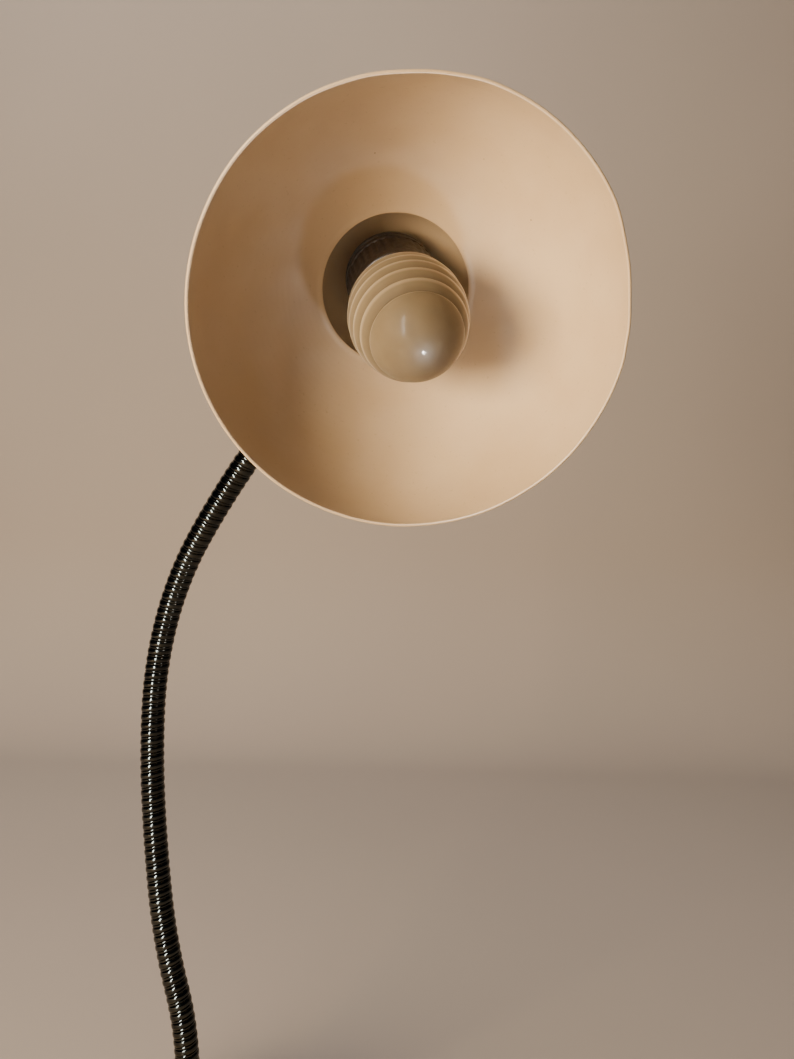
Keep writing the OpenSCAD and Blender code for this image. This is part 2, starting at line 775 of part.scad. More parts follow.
module screw_shell() {
    color([0.8, 0.7, 0.4]) head() {
        tube(shell_r + shell_t, shell_r, shell_z, insert_top + 3);
        tube(shell_r + shell_t / 2, terminal_x + 2, shell_z, shell_z + shell_t);
    }
}

module centre_contact() {
    color([0.8, 0.7, 0.4]) head() {
        translate([-5, -2, shell_z]) cube([10, 4, 0.5]);
        translate([0, 0, shell_z]) cylinder(r = 1.8, h = contact_back - seat - shell_z);
    }
}

module holder_screws() {
    color([0.8, 0.7, 0.4]) head() for (side = [-1, 1])
        translate([side * terminal_x, 0, insert_z]) rotate([180, 0, 0]) small_screw(insert_t);
}

// Two wires from the end of the lamp lead, round the knuckle's hollow and on to the terminals.
module holder_leads() {
    arm = [sin(knuckle_turn), 0, -cos(knuckle_turn)];
    exit_z = holder_back + neck_thread;
    run = (exit_z - thread_in + head_reach) / 3;
    rise = 1.3;
    end_x = terminal_x - small_head_r - run_fit;
    color([0.3, 0.32, 0.5]) head() for (side = [-1, 1]) {
        apart = [0, side * (wire_r + 0.6), 0];
        centre = apart - [0, 0, head_reach];
        inside = centre + [0, 0, thread_in];
        out = apart + [0, 0, exit_z];
        wire([centre + thread_in * arm, centre + arm, centre + [0, 0, 1], inside,
            inside + [0, 0, run], out - [0, 0, run], out, out + [0, 0, rise],
            [side * end_x / 2, 0, exit_z + rise], [side * end_x, 0, exit_z + rise]]);
    }
}

// Arc-shaped slot in the dome, which the nipple runs in as the shade tilts.
module dome_slot() {
    for (angle = [0, slot_reach]) rotate([0, 180 - angle, 0]) cylinder(r = slot_half, h = 2 * dome_r);
    rotate([90, 0, 0]) rotate_extrude(angle = slot_reach, start = -90)
        translate([dome_r / 2, -slot_half]) square([dome_r, 2 * slot_half]);
}

module shade() {
    color([0.93, 0.84, 0.68]) shade_frame() difference() {
        rotate_extrude($fn = 128) {
            intersection() {
                difference() {
                    union() {
                        translate([0, bowl_z]) circle(r = bowl_r + shade_t, $fn = 128);
                        circle(r = dome_out, $fn = 96);
                    }
                    translate([0, bowl_z]) circle(r = bowl_r, $fn = 128);
                    circle(r = dome_r, $fn = 96);
                }
                translate([0, -2 * dome_r]) square([2 * bowl_r, 2 * dome_r + rim_z]);
            }
            translate([rim_r + shade_t / 2, rim_z]) circle(d = edge_d, $fn = 32);
        }
        dome_slot();
    }
}

// ---- bulb -------------------------------------------------------------------------------------

// Radius of the smooth barrel that the ridges stand on, at height z.
function barrel(z) = sqrt(pow(barrel_r, 2) - pow(z - widest_z, 2)) - barrel_r + glass_r;

// Radius of the ridged glass at height z: each ridge is a round step between two grooves.
function ridged(z) = let (t = (z - first_ridge) / ridge_pitch)
    barrel(z) - ridge_depth * (1 - abs(sin(180 * t)));

// Radius and centre of the dome that closes the barrel.
end_r = barrel(barrel_end) - ridge_depth;
end_h = bulb_tip - barrel_end;
tip_r = (pow(end_r, 2) + pow(end_h, 2)) / (2 * end_h);
tip_angle = asin(end_r / tip_r);

// Points from the barrel's end round the dome to its tip, moved inwards by the glass.
function tip_arc(inset) = [for (i = [1:dome_steps]) let (a = tip_angle * (1 - i / dome_steps))
    [(tip_r - inset) * sin(a), bulb_tip - tip_r + (tip_r - inset) * cos(a)]];

module glass_outline() {
    ridged_side = [for (i = [0:ridges * ridge_steps])
        let (z = first_ridge + i * ridge_pitch / ridge_steps) [ridged(z), z]];
    polygon(concat([[0, neck_glass_z], [neck_glass_r, neck_glass_z], [neck_glass_r, cap_front],
        [neck_glass_r + 1.6, cap_front + 1]], ridged_side, tip_arc(0)));
}

module glass_hollow() {
    inner_r = neck_glass_r - glass_t;
    start_z = first_ridge + 1;
    side = [for (i = [0:ridge_steps]) let (z = start_z + i * (barrel_end - start_z) / ridge_steps)
        [barrel(z) - ridge_depth - glass_t, z]];
    polygon(concat([[0, neck_glass_z - cut], [inner_r, neck_glass_z - cut], [inner_r, cap_front + 1]],
        side, tip_arc(glass_t)));
}

module bulb_glass() {
    color([0.86, 0.84, 0.82, 0.8]) head() rotate_extrude($fn = 96) difference() {
        glass_outline();
        glass_hollow();
    }
}

module bulb_cap() {
    color([0.72, 0.7, 0.66]) head() tube(cap_r, cap_r - shell_t, cap_back, cap_front);
}

module bulb_insulator() {
    color([0.08, 0.08, 0.08]) head() {
        translate([0, 0, cap_back - insulator_len])
            cylinder(r1 = contact_r + 1, r2 = cap_r - shell_t, h = insulator_len);
        translate([0, 0, cap_back]) cylinder(r = cap_r - shell_t - seat, h = 2);
    }
}

module bulb_contact() {
    color([0.7, 0.68, 0.64]) head() translate([0, 0, contact_back])
        cylinder(r1 = contact_r - 1, r2 = contact_r, h = contact_len);
}

// Glass stem with two support wires and the filament between them.
module bulb_filament() {
    stem_r = 3;
    flare_h = 5;
    stem_top = neck_glass_z + 14;
    support_l = 14;
    support_angle = 25;
    reach = 2 + support_l * sin(support_angle);
    color([0.8, 0.82, 0.84]) head() {
        translate([0, 0, neck_glass_z])
            cylinder(r1 = neck_glass_r - glass_t - seat, r2 = stem_r, h = flare_h);
        translate([0, 0, neck_glass_z + flare_h])
            cylinder(r = stem_r, h = stem_top - neck_glass_z - flare_h);
        for (side = [-1, 1]) translate([side * 2, 0, stem_top - 0.3])
            rotate([0, side * support_angle, 0]) cylinder(r = filament_r, h = support_l + 0.3);
        translate([-reach, 0, stem_top + support_l * cos(support_angle) - filament_r])
            rotate([0, 90, 0]) cylinder(r = filament_r, h = 2 * reach);
    }
}

// ---- nodes ------------------------------------------------------------------------------------

base_pad();
bottom_plate();
base_screws();
ballast_weight();
base_cover();
cover_pillars();
cord_inlet();
cord_clamp();
ballast_screws();
terminal_block();
terminal_screws();
base_leads();
switch_body();
switch_rocker();
switch_tabs();
lower_socket();
lower_nipple();
lower_washer();
lower_nut();
for (k = [0:stretches - 1]) {
    gooseneck_coil(k);
    lamp_lead(k);
}
upper_socket();
arm_nipple();
knuckle();
upper_nipple();
outer_dome_seat();
inner_dome_seat();
upper_nut();
holder_cap();
holder_body();
holder_insert();
screw_shell();
centre_contact();
holder_screws();
holder_leads();
shade();
bulb_glass();
bulb_cap();
bulb_insulator();
bulb_contact();
bulb_filament();
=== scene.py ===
"""Dressed model of a gooseneck desk lamp: round base, wound arm, spun shade, ridged bulb."""
import json
import logging
import math
from contextlib import contextmanager
from dataclasses import dataclass
from enum import Enum
from typing import Iterator, Optional, Sequence

import bmesh
import bpy
from mathutils import Matrix, Quaternion, Vector


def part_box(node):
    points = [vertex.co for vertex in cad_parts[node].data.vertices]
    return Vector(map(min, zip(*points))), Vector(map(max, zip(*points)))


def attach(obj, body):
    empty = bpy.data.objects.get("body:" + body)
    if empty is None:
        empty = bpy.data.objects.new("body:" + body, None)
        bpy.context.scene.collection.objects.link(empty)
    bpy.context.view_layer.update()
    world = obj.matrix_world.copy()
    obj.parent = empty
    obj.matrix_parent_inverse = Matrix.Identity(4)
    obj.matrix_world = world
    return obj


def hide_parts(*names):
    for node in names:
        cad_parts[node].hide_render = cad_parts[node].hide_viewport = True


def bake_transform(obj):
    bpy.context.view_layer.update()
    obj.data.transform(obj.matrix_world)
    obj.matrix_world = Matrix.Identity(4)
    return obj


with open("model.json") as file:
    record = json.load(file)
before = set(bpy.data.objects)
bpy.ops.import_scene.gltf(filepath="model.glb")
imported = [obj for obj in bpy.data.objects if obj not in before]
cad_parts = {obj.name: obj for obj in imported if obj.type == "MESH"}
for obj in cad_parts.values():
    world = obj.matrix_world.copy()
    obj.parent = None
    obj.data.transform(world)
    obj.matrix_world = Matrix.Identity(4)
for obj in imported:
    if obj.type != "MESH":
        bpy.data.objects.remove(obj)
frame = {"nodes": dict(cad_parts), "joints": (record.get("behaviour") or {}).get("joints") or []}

Point2 = tuple[float, float]
Corner = tuple[float, float, float]
Colour = tuple[float, float, float]
Thing = bpy.types.Object
Socket = bpy.types.NodeSocket
Material = bpy.types.Material

MM = 0.001
log = logging.getLogger("gooseneck_lamp")


# ---- places ----


def joint(name: str) -> dict:
    """Finds a joint of the frame.

    Args:
        name: The joint's name.

    Returns:
        The joint's entry.
    """
    return next(entry for entry in frame["joints"] if entry["name"] == name)


def frame_matrix(origin: Vector, z_axis: Vector, y_axis: Vector) -> Matrix:
    """Builds the matrix of a place with a given Z and Y direction.

    Args:
        origin: Where the place is, in metres.
        z_axis: Direction of its Z axis.
        y_axis: Direction of its Y axis, square to the Z axis.

    Returns:
        The 4 x 4 matrix.
    """
    z_axis = z_axis.normalized()
    y_axis = (y_axis - z_axis * y_axis.dot(z_axis)).normalized()
    x_axis = y_axis.cross(z_axis)
    turned = Matrix((x_axis, y_axis, z_axis)).transposed().to_4x4()
    return Matrix.Translation(origin) @ turned


@dataclass
class ArmLine:
    """Centre line of the gooseneck: equal stretches that each bend along one arc.

    Attributes:
        foot: Lower end of the line, in millimetres.
        stretch: Length of one stretch.
        bends: Bend of each stretch in degrees, towards X and Y of its own lower end.
        smoothness: Edges in each stretch of the curve that the turns are bent along.
    """

    foot: Corner = (0.0, 30.0, 48.0)
    stretch: float = 46.0
    bends: tuple[Point2, ...] = (
        (-18, 7), (9, -1), (4, -3), (6, -2), (14, -8), (15, -10), (5, 3), (0.2, 22.5),
        (-8.6, -18))
    smoothness: int = 32

    def __post_init__(self) -> None:
        """Walks the arcs once and keeps the frame at each end of a stretch."""
        self.frames: list[Matrix] = [Matrix.Translation(Vector(self.foot))]
        for index in range(len(self.bends)):
            self.frames.append(self.along(index, self.stretch))

    @property
    def length(self) -> float:
        """Length of the whole line in millimetres."""
        return self.stretch * len(self.bends)

    def along(self, index: int, distance: float) -> Matrix:
        """Gives the frame at a distance along one stretch.

        Args:
            index: Number of the stretch, from 0.
            distance: Distance from its lower end, in millimetres.

        Returns:
            The frame in millimetres, with +Z along the line.
        """
        towards_x, towards_y = self.bends[index]
        angle = math.radians(math.hypot(towards_x, towards_y))
        aim = Matrix.Rotation(math.atan2(towards_y, towards_x), 4, "Z")
        shift = Matrix.Translation((self.stretch / angle, 0, 0))
        swing = Matrix.Rotation(angle * distance / self.stretch, 4, "Y")
        return self.frames[index] @ aim @ shift @ swing @ shift.inverted() @ aim.inverted()

    def at(self, distance: float) -> Vector:
        """Gives the point at a distance along the whole line.

        Args:
            distance: Distance from the foot, in millimetres.

        Returns:
            The point in metres.
        """
        index = min(int(distance // self.stretch), len(self.bends) - 1)
        return self.along(index, distance - index * self.stretch).translation * MM

    def curve(self, spare: float) -> Thing:
        """Makes the line as a Bezier curve with straight spare ends.

        Args:
            spare: Length of the straight ends, in millimetres.

        Returns:
            The curve object.
        """
        bpy.ops.curve.primitive_bezier_curve_add()
        line = bpy.context.object
        points = line.data.splines[0].bezier_points
        points.add(len(self.frames))
        places = [(f.translation, f.col[2].to_3d()) for f in self.frames]
        first, last = places[0], places[-1]
        places.insert(0, (first[0] - first[1] * spare, first[1]))
        places.append((last[0] + last[1] * spare, last[1]))
        reaches = [spare / 3] + [self._handle(b) for b in self.bends] + [spare / 3]
        for index, (point, (centre, heading)) in enumerate(zip(points, places)):
            before = reaches[max(index - 1, 0)]
            after = reaches[min(index, len(reaches) - 1)]
            point.handle_left_type = point.handle_right_type = "FREE"
            point.co = centre * MM
            point.handle_left = (centre - heading * before) * MM
            point.handle_right = (centre + heading * after) * MM
        line.data.dimensions = "3D"
        line.data.resolution_u = self.smoothness
        line.data.twist_mode = "MINIMUM"
        return line

    def _handle(self, bend: Point2) -> float:
        """Length of the two handles of one arc, in millimetres."""
        angle = math.radians(math.hypot(*bend))
        return 4 / 3 * math.tan(angle / 4) * self.stretch / angle


@dataclass
class HeadPlaces:
    """Places of the head's pieces, worked out from the frame's joints.

    Attributes:
        tilt: Angle between the bulb's axis and the shade's axis at rest, in degrees.
        reach: Distance from the knuckle's ball to the centre of the shade's dome, in millimetres.
        seat: Distance from that centre to the back of the cup washer.
        port: Distance from the ball to the end of its neck towards the arm.
        ferrule: Height of the ferrule between that neck and the arm.
    """

    tilt: float = 12.4
    reach: float = 50.0
    seat: float = 33.8
    port: float = 14.41
    ferrule: float = 13.0

    def __post_init__(self) -> None:
        """Reads the dome's centre and the two axes from the joints."""
        self.hinge = Vector(joint("shade_tilt")["axis"]).normalized()
        self.out = Vector(joint("bulb_unscrew")["axis"]).normalized()
        self.centre = Vector(joint("shade_tilt")["pos_m"])

    @property
    def bulb(self) -> Matrix:
        """Frame of the bulb and the holder, with +Z towards the bulb's tip."""
        return frame_matrix(self.centre, self.out, self.hinge)

    @property
    def shade(self) -> Matrix:
        """Frame of the shade, with +Z towards its mouth."""
        mouth = Quaternion(self.hinge, math.radians(self.tilt)) @ self.out
        return frame_matrix(self.centre, mouth, self.hinge)

    @property
    def ball(self) -> Matrix:
        """Frame of the knuckle's ball, with +Z towards the shade's dome."""
        return frame_matrix(self.centre - self.out * self.reach * MM, self.out, self.hinge)

    def arm_end(self, line: ArmLine) -> Matrix:
        """Gives the frame of the knuckle's ball with +Z onwards along the arm.

        Args:
            line: The arm's centre line.

        Returns:
            The frame in metres.
        """
        end = line.frames[-1]
        heading = end.col[2].to_3d()
        centre = (end.translation + heading * (self.ferrule + self.port)) * MM
        return frame_matrix(centre, heading, end.col[1].to_3d())


@dataclass(frozen=True)
class Viewer:
    """Where the lamp is looked at from: level with the room, a hand's width below the shade.

    Attributes:
        eye: Place of the camera, in metres.
        right: Direction to its right.
        up: Direction upwards in its view.
        sensor: Height of its sensor, in millimetres.
        lens: Focal length in millimetres.
        pixels: Focal length in pixels of the full view.
        rim_centre: The shade's rim centre, right and up of the view's centre, in such pixels.
    """

    eye: Vector = Vector((0.09698, -0.38788, 0.32274)).freeze()
    right: Vector = Vector((0.9997, 0.0018, 0.0249)).freeze()
    up: Vector = Vector((-0.0249, -0.0004, 0.9997)).freeze()
    sensor: float = 36.0
    lens: float = 28.895
    pixels: float = 850.0
    rim_centre: Point2 = (11.0, 232.5)

    def ray(self, right: float, up: float) -> Vector:
        """Gives the direction towards an offset from the rim's centre, in pixels."""
        aside = self.right * (self.rim_centre[0] + right) + self.up * (self.rim_centre[1] + up)
        return self.up.cross(self.right) + aside / self.pixels

    def set_camera(self) -> None:
        """Places the camera."""
        data = bpy.data.cameras.new("front_camera")
        data.sensor_fit = "AUTO"
        data.sensor_width = self.sensor
        data.lens = self.lens
        data.clip_start = 0.01
        camera = bpy.data.objects.new("front_camera", data)
        bpy.context.scene.collection.objects.link(camera)
        axes = Matrix((self.right, self.up, self.right.cross(self.up)))
        camera.matrix_world = Matrix.Translation(self.eye) @ axes.transposed().to_4x4()
        bpy.context.scene.camera = camera


VIEWER = Viewer()


# ---- shaping ----


def deselect() -> None:
    """Leaves edit mode and deselects every object."""
    if bpy.context.object and bpy.context.object.mode != "OBJECT":
        bpy.ops.object.mode_set(mode="OBJECT")
    bpy.ops.object.select_all(action="DESELECT")


def pick(obj: Thing) -> None:
    """Makes one object the only selected and the active one."""
    deselect()
    obj.select_set(True)
    bpy.context.view_layer.objects.active = obj


@contextmanager
def editing(obj: Thing) -> Iterator[None]:
    """Opens an object's mesh for editing with all of it selected, and closes it again.

    Args:
        obj: The object.

    Yields:
        Nothing, while the mesh is open.
    """
    pick(obj)
    bpy.ops.object.mode_set(mode="EDIT")
    bpy.ops.mesh.select_all(action="SELECT")
    yield
    bpy.ops.object.mode_set(mode="OBJECT")


def soften(corners: Sequence[Corner], steps: int = 4) -> list[Point2]:
    """Rounds the corners of an outline.

    Args:
        corners: Radius, height and rounding of each corner, in millimetres.
        steps: Number of edges in each rounded corner.

    Returns:
        The outline as points of radius and height.
    """
    most = 0.49
    outline: list[Point2] = []
    for index, (r, z, rounding) in enumerate(corners):
        if rounding <= 0 or index in (0, len(corners) - 1):
            outline.append((r, z))
            continue
        here = Vector((r, z))
        back = Vector(corners[index - 1][:2]) - here
        on = Vector(corners[index + 1][:2]) - here
        reach = min(rounding / math.tan(back.angle(on) / 2), most * back.length, most * on.length)
        start, end = here + back.normalized() * reach, here + on.normalized() * reach
        for step in range(steps + 1):
            t = step / steps
            point = start * (1 - t) ** 2 + here * 2 * t * (1 - t) + end * t ** 2
            outline.append((point.x, point.y))
    return outline


def arc(centre: Point2, radius: float, start: float, end: float, steps: int) -> list[Point2]:
    """Points along an arc in the outline plane.

    Args:
        centre: Radius and height of the arc's centre.
        radius: Radius of the arc.
        start: First angle in degrees, from the +radius direction.
        end: Last angle in degrees.
        steps: Number of edges.

    Returns:
        The points.
    """
    angles = [math.radians(start + (end - start) * k / steps) for k in range(steps + 1)]
    return [(centre[0] + radius * math.cos(a), centre[1] + radius * math.sin(a)) for a in angles]


def groove(r: float, z: float, depth: float, slope: float, floor: float) -> list[Point2]:
    """Points of one groove round a turned piece, upwards.

    Args:
        r: Radius of the piece.
        z: Height where the groove starts.
        depth: Depth of the groove.
        slope: Height of each of its two slopes.
        floor: Height of its floor.

    Returns:
        The points.
    """
    inner = r - depth
    return [(r, z), (inner, z + slope), (inner, z + slope + floor), (r, z + 2 * slope + floor)]


def trace(name: str, outline: Sequence[Point2], closed: bool = False) -> Thing:
    """Draws an outline in the XZ plane: one vertex, extruded from point to point.

    Args:
        name: Name of the new object.
        outline: Points of radius and height, in millimetres.
        closed: Whether an edge joins the last point to the first.

    Returns:
        The object, made of edges only.
    """
    deselect()
    bpy.ops.mesh.primitive_plane_add(size=MM)
    obj = bpy.context.object
    obj.name = obj.data.name = name
    with editing(obj):
        bpy.ops.mesh.merge(type="CENTER")
        at = (0.0, 0.0)
        for index, (r, z) in enumerate(outline):
            step = ((r - at[0]) * MM, 0.0, (z - at[1]) * MM)
            if index == 0:
                bpy.ops.transform.translate(value=step)
            else:
                bpy.ops.mesh.extrude_region_move(TRANSFORM_OT_translate={"value": step})
            at = (r, z)
        if closed:
            shape = bmesh.from_edit_mesh(obj.data)
            for vertex in shape.verts:
                vertex.select = len(vertex.link_edges) < 2
            shape.select_flush_mode()
            bpy.ops.mesh.edge_face_add()
    return obj


def turn(name: str, outline: Sequence[Point2], steps: int = 72, closed: bool = False) -> Thing:
    """Turns an outline round the Z axis, as on a lathe.

    Args:
        name: Name of the new object.
        outline: Points of radius and height, in millimetres.
        steps: Number of faces round the axis.
        closed: Whether the outline is a closed loop clear of the axis.

    Returns:
        The turned object.
    """
    seam = 0.002
    obj = trace(name, outline, closed)
    with editing(obj):
        bpy.ops.mesh.spin(steps=steps, angle=2 * math.pi, center=(0, 0, 0), axis=(0, 0, 1))
        bpy.ops.mesh.select_all(action="SELECT")
        bpy.ops.mesh.remove_doubles(threshold=seam * MM)
        bpy.ops.mesh.normals_make_consistent(inside=False)
    return obj


def slab(name: str, size: Corner, centre: Corner, bevel: float, segments: int = 3) -> Thing:
    """Makes a block with rounded edges.

    Args:
        name: Name of the new object.
        size: Length, width and height in millimetres.
        centre: Centre of the block in millimetres.
        bevel: Rounding of its edges.
        segments: Faces across each rounded edge.

    Returns:
        The block.
    """
    deselect()
    bpy.ops.mesh.primitive_cube_add(size=1)
    obj = bpy.context.object
    obj.name = obj.data.name = name
    with editing(obj):
        bpy.ops.transform.resize(value=[side * MM for side in size])
        bpy.ops.mesh.bevel(offset=bevel * MM, segments=segments, affect="EDGES")
        bpy.ops.mesh.select_all(action="SELECT")
        bpy.ops.transform.translate(value=[c * MM for c in centre])
    return obj


def settle(obj: Thing) -> None:
    """Applies an object's modifiers in order and its place to its mesh.

    Args:
        obj: The object.
    """
    pick(obj)
    for modifier in list(obj.modifiers):
        bpy.ops.object.modifier_apply(modifier=modifier.name)
    bpy.ops.object.transform_apply(location=True, rotation=True, scale=True)


def place(obj: Thing, matrix: Matrix) -> None:
    """Moves an object to a place and applies that to its mesh."""
    obj.matrix_world = matrix
    settle(obj)


def join(first: Thing, second: Thing) -> Thing:
    """Joins the second object into the first one.

    Args:
        first: The object that stays.
        second: The object that is joined to it.

    Returns:
        The first object.
    """
    pick(first)
    second.select_set(True)
    bpy.ops.object.join()
    return first


def cut_away(obj: Thing, cutter: Thing) -> None:
    """Takes a cutter's volume out of an object and removes the cutter.

    Args:
        obj: The object.
        cutter: The cutter.
    """
    modifier = obj.modifiers.new("cut", "BOOLEAN")
    modifier.operation = "DIFFERENCE"
    modifier.solver = "EXACT"
    modifier.object = cutter
    settle(obj)
    bpy.data.objects.remove(cutter, do_unlink=True)


def smooth(obj: Thing, angle: float) -> None:
    """Shades an object smoothly where its faces meet at less than an angle in degrees."""
    pick(obj)
    bpy.ops.object.shade_smooth_by_angle(angle=math.radians(angle))


# ---- finishes ----


def darker(colour: Colour, share: float) -> Colour:
    """Gives a share of a colour."""
    return tuple(share * c for c in colour)


class Paint:
    """A material's node tree, with short calls to add nodes and to feed the shader."""

    def __init__(self, name: str) -> None:
        """Starts a material with one Principled shader.

        Args:
            name: Name of the material.
        """
        self.material = bpy.data.materials.new(name)
        self.material.use_nodes = True
        self.tree = self.material.node_tree
        self.shader = self.tree.nodes["Principled BSDF"]

    def put(self, target: Socket, value: object) -> None:
        """Feeds an input.

        Args:
            target: The input socket.
            value: An output socket, a colour, a vector or a number.
        """
        if isinstance(value, Socket):
            self.tree.links.new(value, target)
        else:
            target.default_value = (*value, 1.0) if target.type == "RGBA" else value

    def feed(self, **values: object) -> None:
        """Feeds inputs of the shader by name, with _ for a space."""
        for key, value in values.items():
            self.put(self.shader.inputs[key.replace("_", " ")], value)

    def add(self, kind: str, **values: object) -> bpy.types.Node:
        """Adds a node.

        Args:
            kind: Node type without its ShaderNode prefix.
            values: Inputs by name with _ for a space, or properties of the node.

        Returns:
            The node.
        """
        node = self.tree.nodes.new("ShaderNode" + kind)
        for key, value in values.items():
            name = key.replace("_", " ")
            if name in node.inputs:
                self.put(node.inputs[name], value)
            else:
                setattr(node, key, value)
        return node

    def coords(self, frame_at: Optional[Matrix] = None) -> Socket:
        """Gives object coordinates, turned into a piece's own frame if one is named.

        Args:
            frame_at: The frame that the pattern follows.

        Returns:
            The coordinate socket.
        """
        source = self.add("TexCoord").outputs["Object"]
        if frame_at is None:
            return source
        return self.add("Mapping", vector_type="TEXTURE", Location=frame_at.translation,
                        Rotation=frame_at.to_euler("XYZ"), Vector=source).outputs["Vector"]

    def noise(self, spot: Socket, scale: float, detail: float = 3.0,
              roughness: float = 0.5) -> Socket:
        """Adds a noise and gives its factor socket."""
        node = self.add("TexNoise", Vector=spot, Scale=scale, Detail=detail, Roughness=roughness)
        return node.outputs["Fac"]

    def ramp(self, value: Socket, low: float, high: float, to_low: float = 0.0,
             to_high: float = 1.0) -> Socket:
        """Maps a range of values smoothly to another.

        Args:
            value: The value's socket.
            low: Lower end of the range.
            high: Upper end of the range.
            to_low: Result at the lower end.
            to_high: Result at the upper end.

        Returns:
            The result's socket.
        """
        node = self.add("MapRange", interpolation_type="SMOOTHSTEP")
        for target, source in zip(node.inputs, (value, low, high, to_low, to_high)):
            self.put(target, source)
        return node.outputs[0]

    def mix(self, amount: Socket, first: object, second: object) -> Socket:
        """Mixes two colours by an amount.

        Args:
            amount: Share of the second colour.
            first: A colour or a socket.
            second: A colour or a socket.

        Returns:
            The mixed colour's socket.
        """
        node = self.add("Mix", data_type="RGBA")
        for number, value in ((0, amount), (6, first), (7, second)):
            self.put(node.inputs[number], value)
        return node.outputs[2]

    def calc(self, operation: str, first: Socket, second: object = 0.0) -> Socket:
        """Adds a maths node.

        Args:
            operation: What it does.
            first: First operand.
            second: Second operand, a socket or a number.

        Returns:
            The result's socket.
        """
        node = self.add("Math", operation=operation)
        for target, value in zip(node.inputs, (first, second)):
            self.put(target, value)
        return node.outputs[0]

    def bump(self, height: Socket, strength: float, distance: float,
             under: Optional[Socket] = None) -> Socket:
        """Adds a bump.

        Args:
            height: Socket of its height, from 0 to 1.
            strength: Its strength.
            distance: Its full height in millimetres.
            under: Normal of a bump that it lies on.

        Returns:
            The normal's socket.
        """
        node = self.add("Bump", Height=height, Strength=strength, Distance=distance * MM)
        if under is not None:
            self.put(node.inputs["Normal"], under)
        return node.outputs["Normal"]


@dataclass(frozen=True)
class Metal:
    """A plated or bare metal with faint smudges and fine scratches.

    Attributes:
        name: Name of the finish.
        colour: Colour of the clean metal.
        dull: Colour where it is dull or dirty.
        roughness: Roughness of the clean metal.
        scratches: Height of the fine scratches, in millimetres.
        grain: Scale of the smudges.
    """

    name: str
    colour: Colour
    dull: Colour
    roughness: float = 0.12
    scratches: float = 0.004
    grain: float = 90.0

    def make(self) -> Material:
        """Builds the material.

        Returns:
            The material.
        """
        paint = Paint(self.name)
        spot = paint.coords()
        smudge = paint.ramp(paint.noise(spot, self.grain, 4), 0.35, 0.75)
        rough = paint.ramp(paint.noise(spot, self.grain * 4, 5), 0.3, 0.8,
                           self.roughness, self.roughness * 2.2)
        fine = paint.bump(paint.noise(spot, 2600, 3, 0.7), 0.35, self.scratches)
        paint.feed(Metallic=1.0, Base_Color=paint.mix(smudge, self.colour, self.dull),
                   Roughness=rough, Normal=fine)
        return paint.material


@dataclass(frozen=True)
class Moulding:
    """A moulded plastic, bakelite, rubber or ceramic.

    Attributes:
        name: Name of the finish.
        colour: Main colour.
        shade: Colour of the faint mottling.
        roughness: Roughness of the surface.
        texture: Height of the surface texture, in millimetres.
        coat: Weight of a gloss coat.
    """

    name: str
    colour: Colour
    shade: Colour
    roughness: float = 0.4
    texture: float = 0.01
    coat: float = 0.0

    def make(self) -> Material:
        """Builds the material.

        Returns:
            The material.
        """
        paint = Paint(self.name)
        spot = paint.coords()
        swirl = paint.ramp(paint.noise(spot, 160, 5, 0.6), 0.3, 0.7)
        rough = paint.ramp(paint.noise(spot, 420, 4), 0.25, 0.75,
                           self.roughness * 0.85, min(self.roughness * 1.25, 1.0))
        grain = paint.bump(paint.noise(spot, 1500, 3, 0.6), 0.4, self.texture)
        paint.feed(Coat_Weight=self.coat, Coat_Roughness=0.08, Roughness=rough, Normal=grain,
                   Base_Color=paint.mix(swirl, self.colour, self.shade))
        return paint.material


@dataclass(frozen=True)
class Felt:
    """Pressed felt with short fibres.

    Attributes:
        name: Name of the finish.
        colour: Colour of the felt.
        fibre: Colour of the lighter fibres.
        nap: Height of the fibres, in millimetres.
    """

    name: str = "dark_felt"
    colour: Colour = (0.018, 0.022, 0.018)
    fibre: Colour = (0.06, 0.065, 0.055)
    nap: float = 0.15

    def make(self) -> Material:
        """Builds the material.

        Returns:
            The material.
        """
        paint = Paint(self.name)
        hair = paint.noise(paint.coords(), 1400, 6, 0.75)
        paint.feed(Roughness=0.95, Sheen_Weight=0.4, Normal=paint.bump(hair, 0.8, self.nap),
                   Base_Color=paint.mix(paint.ramp(hair, 0.45, 0.7), self.colour, self.fibre))
        return paint.material


